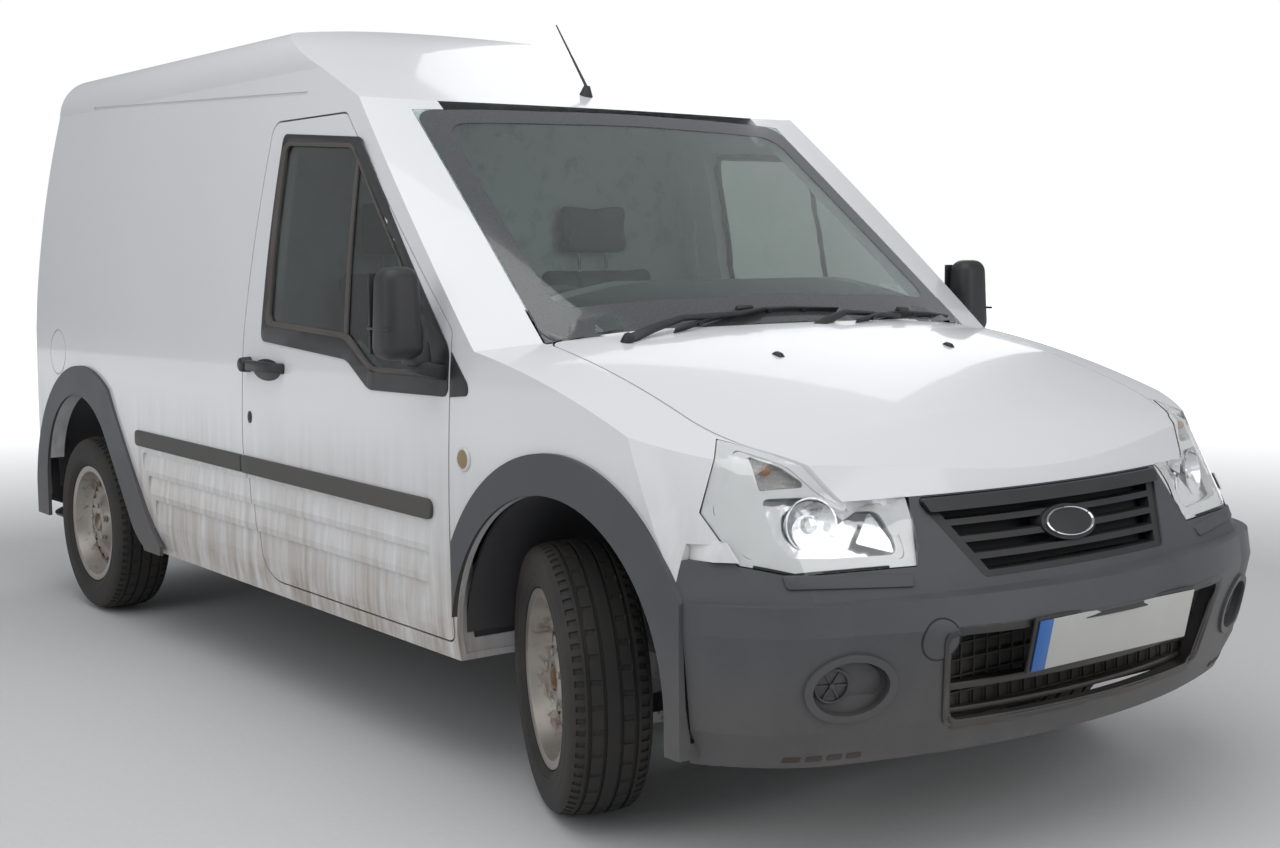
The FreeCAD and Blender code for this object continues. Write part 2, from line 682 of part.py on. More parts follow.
def fog_recess():
    """Oval pocket that holds the fog-lamp blank."""
    rim = Part.Ellipse(Vector(0, 0, 0), 84, 60).toShape()
    rim.rotate(Vector(0, 0, 0), Vector(1, 1, 1), 120)
    rim.rotate(Vector(0, 0, 0), Vector(0, 0, 1), -23)
    face = Part.Face(Part.Wire(rim))
    face.translate(FOG_CENTRE + FOG_NORMAL * 30)
    return face.extrude(FOG_NORMAL * -56)


def front_bumper():
    outer = Part.makeLoft([bumper_plan(*level) for level in BUMPER_LEVELS], True, True)
    inner = Part.makeLoft([bumper_plan(*level, 40.0) for level in BUMPER_LEVELS], True, True)
    inner = inner.fuse(box(1600, 2120, -820, 820, 200, 253))
    skirt = outer.cut(inner).fuse(outer.common(box(1600, 2400, -900, 900, 575, 590)).cut(hull(30)))
    upper = skin(0, 30, box(1600, 2400, -900, 900, 575, 668))
    pillars = skin(0, 30, box(2000, 2400, -470, 470, 575, 771))
    bumper = fuse([skirt, upper, pillars]).common(box(1861.8, 2400, -1000, 1000, 200, 800))
    grille_hole = extrude(outline("YZ", GRILLE, 1900), Vector(500, 0, 0))
    intake = extrude(outline("YZ", INTAKE, 1900), Vector(500, 0, 0))
    bumper = bumper.cut(grille_hole).cut(intake)
    bumper = bumper.cut([lamp_prism(SEAT_GAP), mirrored(lamp_prism(SEAT_GAP))])
    for side in ((-1000, -500), (500, 1000)):
        bumper = bumper.cut(arch_opening("front", side[0], side[1], 2.0))
    flares = flare_outline("front", -1000, -830)
    bumper = bumper.cut(flares).cut(mirrored(flares))
    for recess in both_sides(fog_recess()):
        bumper = bumper.cut(recess)
    node("front_bumper", bumper)


GRILLE = [(-400.0, 769.0, 12), (-301.0, 607.0, 20), (301.0, 607.0, 20), (400.0, 769.0, 12)]
INTAKE = [(-412.0, 317.0, 20), (-455.0, 520.0, 25), (455.0, 520.0, 25), (412.0, 317.0, 20)]


def grille():
    wire = outline("YZ", GRILLE, 1900).makeOffset2D(-SEAT_GAP)
    frame = skin(5, 30, extrude(wire, Vector(500, 0, 0)))
    slots = []
    for index, z in enumerate((630.0, 664.0, 698.0, 732.0)):
        low = 279.0 + index * 20.0
        high = low + 13.0
        slot = [(-low, z - 11), (low, z - 11), (high, z + 11), (-high, z + 11)]
        slots.append(extrude(outline("YZ", slot, 1900), Vector(500, 0, 0)))
    frame = frame.cut(fuse(slots))
    boss = Part.Ellipse(Vector(0, 0, 0), 88, 36).toShape()
    boss.rotate(Vector(0, 0, 0), Vector(1, 1, 1), 120)
    boss.translate(Vector(2060, 0, 690))
    boss = Part.Face(Part.Wire(boss)).extrude(Vector(200, 0, 0)).cut(hull(30)).common(hull(0))
    bar = outline("YZ", [(-381.0, 741.0, 4), (-393.0, 767.0, 8), (393.0, 767.0, 8), (381.0, 741.0, 4)], 1900)
    forward = hull(0)
    forward.translate(Vector(11, 0, 4))
    lip = forward.common(extrude(bar, Vector(500, 0, 0))).cut(hull(10))
    node("grille", fuse([frame, boss, lip]))


def rear_bumper():
    levels = [(290.0, -2225.0, -2180.0, 850.0), (340.0, -2250.0, -2205.0, 885.0),
              (430.0, -2262.5, -2215.0, 893.0), (518.0, -2252.0, -2204.0, 893.0)]
    outer = []
    inner = []
    for z, back, end, side in levels:
        steps = [(-1960.0, side), (end + 95.0, side - 68.0, end, 660.0), (back, 0.0, end, -660.0),
                 (end + 95.0, -side + 68.0, -1960.0, -side), (-1700.0, -side)]
        wire = path("XY", (-1700.0, side), steps, z)
        outer.append(wire)
        inner.append(inset(wire, 35.0))
    body = Part.makeLoft(outer, True, True)
    shelf = body.common(box(-2400, -2000, -900, 900, 504, 518))
    body = body.cut(Part.makeLoft(inner, True, True)).fuse(shelf).cut(hull(0))
    body = body.common(box(-2400, REAR_AXLE_X - 331, -1000, 1000, 200, 600))
    flares = flare_outline("rear", -1000, -830)
    node("rear_bumper", body.cut([flares, mirrored(flares)]))


def mirrors():
    head = box(888, 1000, -1046, -925, 1010, 1245)
    head = head.makeFillet(38, [edge for edge in head.Edges])
    foot = box(915, 985, -960, -884, 1020, 1062)
    foot = foot.makeFillet(12, [edge for edge in foot.Edges])
    shape = fuse([head, foot]).cut(hull(0))
    shape = shape.common(box(800, 1100, -1100, -860, 900, 1300))
    node("mirror_right", shape)
    node("mirror_left", mirrored(shape))


def aerial():
    base = Part.makeCone(22, 9, 34, Vector(330, 0, 1728), Vector(0.2, 0, 1))
    mast = Part.makeCone(4.5, 2, 250, Vector(336, 0, 1756), Vector(-0.62, 0, 0.785))
    node("aerial", fuse([base, mast]).cut(hull(0)))


def cowl():
    corners = [(1120.0, -790.0, 20), (1195.0, -705.0, 20), (1332.0, 0.0, 1400), (1195.0, 705.0, 20),
               (1120.0, 790.0, 20), (1040.0, 790.0, 20), (1040.0, -790.0, 20)]
    tray = skin(22, 30, plan_outline_prism(corners, 900, 1200))
    edge = screen_region(0).cut(screen_region(-35.0)).common(box(1120, 1400, -650, 650, 900, 1140))
    cowl = fuse([tray, skin(5, 30, edge).cut(plan_outline_prism(BONNET_PLAN, 700, 1300, PANEL_GAP))])
    node("cowl", cowl.common(box(1072, 1400, -680, 680, 900, 1140)))


STEER_WHEEL = (640.0, -365.0, 1010.0)
COLUMN_TILT = 25.0
COLUMN_LOW = (640.0 + 170 * math.cos(math.radians(25)), -365.0, 1010.0 - 170 * math.sin(math.radians(25)))


def cabin():
    wall = hull(WALL).common(box(BULKHEAD_X, BULKHEAD_X + BULKHEAD_THICK, -900, 900, LOAD_FLOOR[1], 1990))
    node("bulkhead", wall)
    column = cylinder(30, COLUMN_LOW, STEER_WHEEL)
    dash = side_prism([(984.7, 700, 30), (984.7, 1030, 30), (905, 1040, 60), (715, 930, 50), (735, 660, 60)], -760, 760)
    node("dashboard", dash.common(hull(WALL)).cut(column))
    seats = []
    for y in (-365.0, 365.0):
        cushion = side_prism([(-40, 560, 40), (430, 590, 50), (440, 690, 40), (-40, 660, 40)], y - 240, y + 240)
        back = side_prism([(-48, 600, 40), (-185, 1240, 40), (-90, 1255, 40), (60, 700, 40)], y - 230, y + 230)
        base = box(0, 380, y - 190, y + 190, 392.3, 600)
        head = side_prism([(-182, 1232, 30), (-190, 1440, 30), (-110, 1445, 30), (-98, 1262, 30)], y - 130, y + 130)
        seats += [fuse([cushion, back, base, head.cut(back)])]
    node("seats", Part.makeCompound(seats))


def steering_wheel():
    ring = Part.makeTorus(178, 15)
    hub = Part.makeCylinder(55, 42, Vector(0, 0, -40))
    bar = box(-172, 172, -20, 20, -16, 2)
    low = box(-20, 20, -172, 0, -16, 2)
    column = Part.makeCylinder(20, 92, Vector(0, 0, -132))
    shape = fuse([ring, hub, bar, low, column])
    shape.rotate(Vector(0, 0, 0), Vector(0, 0, 1), 90)
    shape.rotate(Vector(0, 0, 0), Vector(0, 1, 0), -(90 - COLUMN_TILT))
    shape.translate(Vector(*STEER_WHEEL))
    node("steering_wheel", shape)


def pipe_run(points, radius):
    runs = []
    for start, end in zip(points, points[1:]):
        runs.append(cylinder(radius, start, end))
    for point in points[1:-1]:
        runs.append(Part.makeSphere(radius, Vector(*point)))
    return fuse(runs)


def drivetrain():
    node("engine_block", box(1490, 1960, -300, 330, 350, 790))
    tank = side_prism([(-880, 300, 60), (-880, 519.7, 20), (-330, 519.7, 20), (-330, 300, 60)], -300, 250)
    node("fuel_tank", tank)
    points = [(1489.7, 250, 400), (1462, 250, 400), (1420, 290, 330), (1150, 340, 264), (-1100, 340, 264),
              (-1330, 340, 402), (-1745, 340, 402), (-1775, 340, 390), (-2190, 340, 390)]
    pipe = pipe_run(points, 24)
    muffler = cylinder(52, (-2070, 340, 390), (-1800, 340, 390))
    hangers = [box(-1000, -980, 330, 350, 270, 454.7), box(-2040, -2020, 330, 350, 420, 454.7),
               box(620, 640, 330, 350, 270, 289.7)]
    node("exhaust", fuse([pipe, muffler] + hangers))


def revolve_profile(corners):
    """Turn (radius, offset) corners about the Y axis."""
    wire = outline("YZ", [(offset, radius, r) for radius, offset, r in corners])
    return Part.Face(wire).revolve(Vector(0, 0, 0), Vector(0, 1, 0), 360)


def wheel_shapes():
    tyre = revolve_profile([(190.8, -74, 3), (190.8, 74, 3), (206.8, 75.6, 2), (208, 86, 3), (226, 96, 16),
                            (282, 96, 40), (311, 78, 24), (TYRE_RADIUS, 0, 900), (311, -78, 24), (282, -96, 40),
                            (226, -96, 16), (208, -86, 3), (206.8, -75.6, 2)])
    barrel = [(190.4, 74.6, 0), (190.4, 76, 0), (206, 77, 2), (206, 83, 2), (186, 80, 2), (176, 40, 8),
              (160, 26, 8), (160, -60, 8), (184, -80, 2), (206, -83, 2), (206, -77, 2), (190.4, -76, 0), (190.4, -60, 6),
              (166, -50, 6), (166, 20, 6), (184, 45, 6)]
    rim = revolve_profile(barrel)
    disc = revolve_profile([(30, 60, 0), (62, 60, 8), (84, 34, 12), (108, 22, 10), (140, 34, 12), (163, 18, 4),
                            (163, 12, 0), (140, 28, 12), (108, 16, 10), (82, 28, 12), (60, 54, 8), (30, 54, 0)])
    rim = rim.fuse(disc).removeSplitter()
    slot = cylinder(9, (0, -20, 148), (0, 80, 148))
    slot = fuse([cylinder(8, (-7, -20, 138), (-7, 80, 138)), cylinder(8, (7, -20, 138), (7, 80, 138)),
                 box(-7, 7, -20, 80, 130, 146)])
    slots = []
    for index in range(20):
        copy = slot.copy()
        copy.rotate(Vector(0, 0, 0), Vector(0, 1, 0), index * 18.0)
        slots.append(copy)
    rim = rim.cut(fuse(slots))
    return tyre, rim


def kingpin(side):
    low = Vector(FRONT_AXLE_X + BALL_JOINT[0], side * BALL_JOINT[1], BALL_JOINT[2])
    high = Vector(FRONT_AXLE_X + STRUT_TOP[0], side * STRUT_TOP[1], STRUT_TOP[2])
    return low, high


def steered(shape, side):
    low, high = kingpin(side)
    shape = shape.copy()
    shape.rotate(low, (high - low).normalize(), STEER_REST)
    return shape


def wheels():
    tyre, rim = wheel_shapes()
    for end, x, track in (("front", FRONT_AXLE_X, FRONT_TRACK), ("rear", REAR_AXLE_X, REAR_TRACK)):
        for label, side in (("left", 1), ("right", -1)):
            for kind, shape in (("tyre", tyre), ("rim", rim)):
                piece = shape if side > 0 else mirrored(shape)
                piece = piece.copy()
                piece.translate(Vector(x, side * 0.5 * track, TYRE_RADIUS))
                if end == "front":
                    piece = steered(piece, side)
                node(kind + "_" + end + "_" + label, piece)


def running_gear():
    half = 0.5 * FRONT_TRACK
    x = FRONT_AXLE_X
    upright = side_prism([(x - 26, 222, 8), (x - 30, 400, 8), (x + 30, 400, 8), (x + 26, 222, 8)], -702, -672)
    spindle = cylinder(29.95, (x, -680, TYRE_RADIUS), (x, -half - 50, TYRE_RADIUS))
    neck = fuse([cylinder(26, (x - 2, -618, 330), (x - 9, -582, 700)), cylinder(13, (x - 9, -583, 690), (x - 10, -575.2, 806)),
                 box(x - 24, x + 24, -690, -600, 340, 390)])
    knuckle = fuse([upright, spindle, neck, cylinder(16, (x, -690, 215), (x, -690, 240))])
    for label, side in (("right", -1), ("left", 1)):
        shape = knuckle if side < 0 else mirrored(knuckle)
        node("knuckle_" + label, steered(shape, side))
    arms = []
    arm = extrude(outline("XY", [(x - 130, -380, 10), (x + 60, -380, 10), (x + 24, -700, 18), (x - 24, -700, 18)], 184),
                  Vector(0, 0, 26))
    arms = [arm, mirrored(arm), box(x - 160, x + 90, -400, 400, 180, 250), box(x - 160, x + 90, -455, -395, 240, 299.7),
            box(x - 160, x + 90, 395, 455, 240, 299.7)]
    node("front_suspension", fuse(arms))
    rear = [cylinder(32, (REAR_AXLE_X, -700, TYRE_RADIUS), (REAR_AXLE_X, 700, TYRE_RADIUS))]
    half = 0.5 * REAR_TRACK
    for side in (-1, 1):
        rear.append(cylinder(29.95, (REAR_AXLE_X, side * 690, TYRE_RADIUS), (REAR_AXLE_X, side * (half + 50), TYRE_RADIUS)))
        y0, y1 = sorted((side * 437.0, side * 493.0))
        steps = [(REAR_AXLE_X, 326.0, REAR_AXLE_X + 560, 425.0), (REAR_AXLE_X + 560, 439.7), (REAR_AXLE_X + 535, 439.7),
                 (REAR_AXLE_X, 350.0, REAR_AXLE_X - 535, 439.7), (REAR_AXLE_X - 560, 439.7)]
        rear.append(extrude(path("XZ", (REAR_AXLE_X - 560, 425.0), steps, y0), Vector(0, y1 - y0, 0)))
    node("rear_axle", fuse(rear))


BUILDERS = [side_panels, front_doors, roof, rear_doors, windscreen, front_end, arch_flares, tail_lamps,
            underbody, front_bumper, grille, rear_bumper, mirrors, aerial, cowl, cabin, steering_wheel,
            drivetrain, wheels, running_gear]
for build in BUILDERS:
    build()

os.makedirs("parts", exist_ok=True)
for name, shape in NODES.items():
    solids = shape.Solids
    print(name, shape.isValid(), len(solids), [round(s.Volume / 1e6, 2) for s in solids][:6])
    shape.exportStep("parts/" + name + ".step")
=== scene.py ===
import json
import math

import bmesh
import bpy
from bpy.props import FloatProperty, FloatVectorProperty, IntProperty, PointerProperty
from bpy.types import Operator, Panel, PropertyGroup
from mathutils import Matrix, Vector
from mathutils.bvhtree import BVHTree


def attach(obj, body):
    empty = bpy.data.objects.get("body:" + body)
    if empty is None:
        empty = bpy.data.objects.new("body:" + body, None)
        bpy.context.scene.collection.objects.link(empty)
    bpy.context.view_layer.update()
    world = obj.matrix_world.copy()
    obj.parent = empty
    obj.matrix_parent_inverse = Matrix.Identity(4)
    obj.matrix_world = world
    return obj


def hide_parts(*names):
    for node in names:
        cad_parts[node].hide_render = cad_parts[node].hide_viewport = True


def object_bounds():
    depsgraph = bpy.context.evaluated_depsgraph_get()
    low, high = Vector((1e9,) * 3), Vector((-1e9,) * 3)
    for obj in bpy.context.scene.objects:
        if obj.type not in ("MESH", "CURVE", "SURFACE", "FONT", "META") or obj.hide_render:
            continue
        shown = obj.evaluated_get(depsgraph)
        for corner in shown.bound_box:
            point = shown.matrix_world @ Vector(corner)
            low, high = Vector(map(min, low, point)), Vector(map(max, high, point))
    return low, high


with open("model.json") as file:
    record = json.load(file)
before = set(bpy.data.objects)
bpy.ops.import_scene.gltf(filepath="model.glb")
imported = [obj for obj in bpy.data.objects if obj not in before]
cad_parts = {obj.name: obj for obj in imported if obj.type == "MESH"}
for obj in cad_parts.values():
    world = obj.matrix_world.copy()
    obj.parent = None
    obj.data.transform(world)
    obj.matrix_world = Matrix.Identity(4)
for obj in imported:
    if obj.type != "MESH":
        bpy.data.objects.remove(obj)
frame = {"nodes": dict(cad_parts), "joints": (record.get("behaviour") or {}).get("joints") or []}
CAD_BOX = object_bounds()
NODES = frame["nodes"]
JOINTS = {joint["name"]: joint for joint in frame["joints"]}

bl_info = {
    "name": "Panel Van",
    "version": (1, 0, 0),
    "blender": (4, 5, 0),
    "location": "View3D > Sidebar > Panel Van",
    "description": "Finishes and details of a panel van around its packed frame",
    "category": "Object",
}

SIDES = (("right", -1.0), ("left", 1.0))


class VanFinish(PropertyGroup):
    """Colours of the van's finishes."""

    body: FloatVectorProperty(
        name="Body paint", description="Colour of the clean body paint", subtype="COLOR",
        default=(0.74, 0.75, 0.77), min=0.0, max=1.0)
    dirt: FloatVectorProperty(
        name="Road dirt", description="Colour of the dried dirt on the lower body", subtype="COLOR",
        default=(0.33, 0.27, 0.21), min=0.0, max=1.0)
    bumper: FloatVectorProperty(
        name="Bumper plastic", description="Colour of the bumpers and wheel-arch flares", subtype="COLOR",
        default=(0.062, 0.064, 0.070), min=0.0, max=1.0)
    moulding: FloatVectorProperty(
        name="Rub moulding", description="Colour of the side mouldings", subtype="COLOR",
        default=(0.066, 0.062, 0.058), min=0.0, max=1.0)
    trim: FloatVectorProperty(
        name="Black trim", description="Colour of the grille, mirrors and handles", subtype="COLOR",
        default=(0.016, 0.016, 0.017), min=0.0, max=1.0)
    rubber: FloatVectorProperty(
        name="Tyre rubber", description="Colour of the tyres", subtype="COLOR",
        default=(0.020, 0.019, 0.018), min=0.0, max=1.0)
    wheel: FloatVectorProperty(
        name="Wheel paint", description="Colour of the steel wheels", subtype="COLOR",
        default=(0.42, 0.40, 0.37), min=0.0, max=1.0)
    rust: FloatVectorProperty(
        name="Rust", description="Colour of the rust on wheels and running gear", subtype="COLOR",
        default=(0.13, 0.062, 0.030), min=0.0, max=1.0)
    cloth: FloatVectorProperty(
        name="Seat cloth", description="Colour of the seat covers", subtype="COLOR",
        default=(0.075, 0.080, 0.090), min=0.0, max=1.0)
    glass: FloatVectorProperty(
        name="Glass", description="Tint of the window glass", subtype="COLOR",
        default=(0.72, 0.82, 0.79), min=0.0, max=1.0)
    dirt_height: FloatProperty(
        name="Dirt height", description="Height that the road dirt reaches on the sides", unit="LENGTH",
        default=0.86, min=0.3, max=1.5)


class VanSizes(PropertyGroup):
    """Sizes of the van's added details."""

    moulding_rise: FloatProperty(
        name="Moulding thickness", description="How far the rub mouldings stand off the body", unit="LENGTH",
        default=0.011, min=0.004, max=0.025)
    tread_depth: FloatProperty(
        name="Tread depth", description="Depth of the tyre grooves", unit="LENGTH",
        default=0.006, min=0.002, max=0.009)
    wheel_slots: IntProperty(
        name="Wheel slots", description="Number of slots in each steel wheel", default=20, min=8, max=32)
    wheel_bolts: IntProperty(
        name="Wheel bolts", description="Number of bolts that hold each wheel", default=5, min=4, max=8)


class VanStage(PropertyGroup):
    """Floor, lamps and camera."""

    floor: FloatVectorProperty(
        name="Floor", description="Colour of the studio floor", subtype="COLOR",
        default=(0.62, 0.62, 0.62), min=0.0, max=1.0)
    sky_strength: FloatProperty(
        name="Ambient light", description="Strength of the even light from all round", default=0.42,
        min=0.0, max=2.0)
    key_power: FloatProperty(
        name="Key light", description="Power of the large overhead lamp", default=150.0, min=0.0,
        max=5000.0, unit="POWER")
    lens: FloatProperty(
        name="Lens", description="Focal length on a 36 mm wide sensor", default=47.455, min=10.0,
        max=200.0, unit="CAMERA")
    eye: FloatVectorProperty(
        name="Camera place", description="Where the camera stands", subtype="TRANSLATION",
        default=(4.4346, -2.9313, 1.2794))
    turn: FloatVectorProperty(
        name="Camera turn", description="Yaw, pitch and roll of the view direction", subtype="EULER",
        default=(2.49080502, -0.102670591, -0.00553818))


# Shading


class Shading:
    """One node material. Most methods add a node and return its output socket."""

    def __init__(self, name, colour, roughness, metallic=0.0):
        self.material = bpy.data.materials.new(name)
        self.material.use_nodes = True
        self.tree = self.material.node_tree
        self.shader = self.tree.nodes["Principled BSDF"]
        self.shader.inputs["Base Color"].default_value = (*colour[:3], 1.0)
        self.shader.inputs["Roughness"].default_value = roughness
        self.shader.inputs["Metallic"].default_value = metallic
        self.material.diffuse_color = (*colour[:3], 1.0)

    def node(self, kind, **settings):
        made = self.tree.nodes.new(kind)
        for key, value in settings.items():
            setattr(made, key, value)
        return made

    def link(self, value, socket):
        if isinstance(value, bpy.types.NodeSocket):
            self.tree.links.new(value, socket)
        else:
            socket.default_value = value

    def space(self, scale=(1.0, 1.0, 1.0), place=(0.0, 0.0, 0.0), turn=(0.0, 0.0, 0.0)):
        coordinate = self.node("ShaderNodeTexCoord")
        mapping = self.node("ShaderNodeMapping")
        mapping.inputs["Location"].default_value = place
        mapping.inputs["Rotation"].default_value = turn
        mapping.inputs["Scale"].default_value = scale
        self.link(coordinate.outputs["Object"], mapping.inputs["Vector"])
        return mapping.outputs["Vector"]

    def axis(self, vector, name):
        split = self.node("ShaderNodeSeparateXYZ")
        self.link(vector, split.inputs["Vector"])
        return split.outputs[name]

    def attribute(self, name):
        return self.node("ShaderNodeAttribute", attribute_name=name).outputs["Fac"]

    def noise(self, vector, scale, detail=4.0, roughness=0.55, distortion=0.0):
        made = self.node("ShaderNodeTexNoise")
        self.link(vector, made.inputs["Vector"])
        made.inputs["Scale"].default_value = scale
        made.inputs["Detail"].default_value = detail
        made.inputs["Roughness"].default_value = roughness
        made.inputs["Distortion"].default_value = distortion
        return made.outputs["Fac"]

    def cells(self, vector, scale, feature="F1"):
        made = self.node("ShaderNodeTexVoronoi", feature=feature)
        self.link(vector, made.inputs["Vector"])
        made.inputs["Scale"].default_value = scale
        return made.outputs["Distance"]

    def waves(self, vector, scale, direction="X", distortion=0.0):
        made = self.node("ShaderNodeTexWave", wave_type="BANDS", bands_direction=direction)
        self.link(vector, made.inputs["Vector"])
        made.inputs["Scale"].default_value = scale
        made.inputs["Distortion"].default_value = distortion
        return made.outputs["Fac"]

    def spread(self, value, low, high, to_low=0.0, to_high=1.0):
        made = self.node("ShaderNodeMapRange")
        self.link(value, made.inputs["Value"])
        made.inputs["From Min"].default_value = low
        made.inputs["From Max"].default_value = high
        made.inputs["To Min"].default_value = to_low
        made.inputs["To Max"].default_value = to_high
        return made.outputs["Result"]

    def sum(self, kind, first, second):
        made = self.node("ShaderNodeMath", operation=kind)
        self.link(first, made.inputs[0])
        self.link(second, made.inputs[1])
        return made.outputs[0]

    def tint(self, factor, low, high):
        made = self.node("ShaderNodeMix", data_type="RGBA")
        self.link(factor, made.inputs["Factor"])
        for value, socket in ((low, made.inputs[6]), (high, made.inputs[7])):
            if not isinstance(value, bpy.types.NodeSocket):
                value = (*value[:3], 1.0)
            self.link(value, socket)
        return made.outputs[2]

    def bump(self, height, distance, strength=1.0, under=None):
        made = self.node("ShaderNodeBump")
        made.inputs["Distance"].default_value = distance
        made.inputs["Strength"].default_value = strength
        self.link(height, made.inputs["Height"])
        if under is not None:
            self.link(under, made.inputs["Normal"])
        return made.outputs["Normal"]

    def wire(self, **sockets):
        names = {"colour": "Base Color", "roughness": "Roughness", "normal": "Normal",
                 "metallic": "Metallic", "alpha": "Alpha", "glow": "Emission Strength"}
        for key, value in sockets.items():
            self.link(value, self.shader.inputs[names[key]])
        return self.material

    def fix(self, **sockets):
        """Set constants on the shader's own sockets."""
        for key, value in sockets.items():
            self.shader.inputs[key.replace("_", " ").title().replace("Ior", "IOR")].default_value = value


def kept(build):
    """A finish is built once and shared by the pieces that have it."""
    def finish(*arguments):
        name = build.__name__ + "".join("_" + str(argument) for argument in arguments)
        found = bpy.data.materials.get(name)
        return found or build(name, *arguments)
    return finish


def finish_settings():
    """The colours that the finishes are made with."""
    return bpy.context.scene.van_finish


@kept
def body_paint(name):
    """White paint: faint orange peel, vertical dirt runs and a brown film low on the sides."""
    colours = finish_settings()
    paint = Shading(name, colours.body, 0.32)
    paint.fix(coat_weight=0.55, coat_roughness=0.05)
    space = paint.space()
    height = paint.axis(space, "Z")
    across = paint.sum("ABSOLUTE", paint.axis(space, "Y"), 0.0)
    runs = paint.noise(paint.space(scale=(34.0, 34.0, 1.6)), 1.0, 3.0, 0.6)
    clouds = paint.noise(space, 2.6, 5.0, 0.6)
    low = paint.spread(height, colours.dirt_height, 0.33)
    flank = paint.spread(across, 0.70, 0.86)
    film = paint.sum("MULTIPLY", low, paint.spread(paint.sum("ADD", runs, clouds), 0.62, 1.32))
    film = paint.sum("MULTIPLY", film, flank)
    specks = paint.spread(paint.noise(space, 190.0, 2.0), 0.60, 0.72)
    specks = paint.sum("MULTIPLY", specks, paint.spread(height, 0.75, 0.30, 0.0, 0.5))
    film = paint.sum("MAXIMUM", film, paint.sum("MULTIPLY", specks, flank))
    haze = paint.spread(paint.noise(space, 1.1, 3.0), 0.35, 0.75, 0.0, 0.06)
    colour = paint.tint(paint.sum("ADD", film, haze), colours.body, colours.dirt)
    rough = paint.spread(film, 0.0, 0.8, 0.30, 0.78)
    peel = paint.bump(paint.noise(space, 620.0, 2.0), 0.00010, 0.20)
    return paint.wire(colour=colour, roughness=rough, normal=peel)


@kept
def shell_inside(name):
    """Paint of the bulkhead, uneven and scuffed to grey."""
    colours = finish_settings()
    paint = Shading(name, colours.body, 0.5)
    space = paint.space()
    scuffs = paint.spread(paint.noise(space, 14.0, 6.0, 0.7), 0.52, 0.70, 0.0, 0.55)
    return paint.wire(colour=paint.tint(scuffs, (0.62, 0.63, 0.64), (0.30, 0.29, 0.28)),
                      normal=paint.bump(paint.noise(space, 8.0, 3.0), 0.002, 0.3))


def moulded(name, colour, roughness, grain, worn=0.5):
    """Moulded plastic: leather-like grain, faded patches and dust where it lies low."""
    plastic = Shading(name, colour, roughness)
    space = plastic.space()
    pores = plastic.cells(space, grain)
    fade = plastic.spread(plastic.noise(space, 3.4, 6.0, 0.62), 0.42, 0.78)
    pale = tuple(min(1.0, channel * (1.0 + worn) + 0.012 * worn) for channel in colour[:3])
    rough = plastic.spread(fade, 0.0, 1.0, roughness, min(0.95, roughness + 0.16))
    dust = plastic.spread(plastic.axis(space, "Z"), 0.55, 0.15, 0.0, 0.35)
    dust = plastic.sum("MULTIPLY", dust, plastic.noise(space, 9.0, 5.0))
    base = plastic.tint(dust, plastic.tint(fade, colour, pale), finish_settings().dirt)
    grainy = plastic.bump(pores, 0.00022, 0.35)
    return plastic.wire(colour=base, roughness=rough, normal=grainy)


@kept
def bumper_plastic(name):
    return moulded(name, finish_settings().bumper, 0.50, 900.0, 0.35)


@kept
def moulding_plastic(name):
    return moulded(name, finish_settings().moulding, 0.55, 1100.0, 0.3)


@kept
def black_trim(name):
    return moulded(name, finish_settings().trim, 0.42, 1300.0, 0.6)


@kept
def cabin_plastic(name):
    return moulded(name, (0.050, 0.052, 0.056), 0.62, 700.0, 0.25)


# Near-black rubber for the headlamp gasket and the intake mesh; the same black is also painted shade in the
# tow-eye groove, the low bumper slots, behind the intake mesh and behind the grille's slats
@kept
def seal_rubber(name):
    return moulded(name, (0.012, 0.012, 0.012), 0.7, 500.0, 0.4)


@kept
def window_glass(name):
    """Lightly tinted safety glass with a trace of dust."""
    colours = finish_settings()
    glass = Shading(name, colours.glass, 0.0)
    glass.fix(transmission_weight=1.0, ior=1.45)
    space = glass.space()
    dust = glass.noise(space, 3.0, 6.0, 0.65)
    grime = glass.spread(dust, 0.45, 0.9, 0.0, 0.10)
    return glass.wire(colour=glass.tint(grime, colours.glass, (0.55, 0.58, 0.55)),
                      roughness=glass.spread(dust, 0.5, 0.9, 0.0, 0.05))


@kept
def dark_glass(name):
    """Side glass, deeply tinted."""
    glass = Shading(name, (0.20, 0.22, 0.21), 0.0)
    glass.fix(transmission_weight=1.0, ior=1.45)
    dust = glass.noise(glass.space(), 4.0, 6.0, 0.65)
    return glass.wire(colour=glass.tint(glass.spread(dust, 0.4, 0.9, 0.0, 0.3), (0.20, 0.22, 0.21),
                                        (0.30, 0.31, 0.29)),
                      roughness=glass.spread(dust, 0.5, 0.9, 0.0, 0.06))


@kept
def screen_frit(name):
    """Ceramic band baked onto the edge of the screen."""
    band = Shading(name, (0.055, 0.058, 0.060), 0.12)
    band.fix(coat_weight=0.5, coat_roughness=0.02)
    dots = band.cells(band.space(), 260.0)
    return band.wire(colour=band.tint(band.spread(dots, 0.2, 0.6), (0.05, 0.052, 0.055),
                                      (0.075, 0.08, 0.082)))


@kept
def lamp_lens(name):
    """Clear polycarbonate, faintly hazed by age."""
    lens = Shading(name, (0.97, 0.98, 0.98), 0.0)
    lens.fix(transmission_weight=1.0, ior=1.5)
    haze = lens.noise(lens.space(), 22.0, 6.0, 0.7)
    return lens.wire(roughness=lens.spread(haze, 0.5, 0.8, 0.0, 0.08),
                     normal=lens.bump(lens.noise(lens.space(), 40.0, 2.0), 0.0006, 0.2))


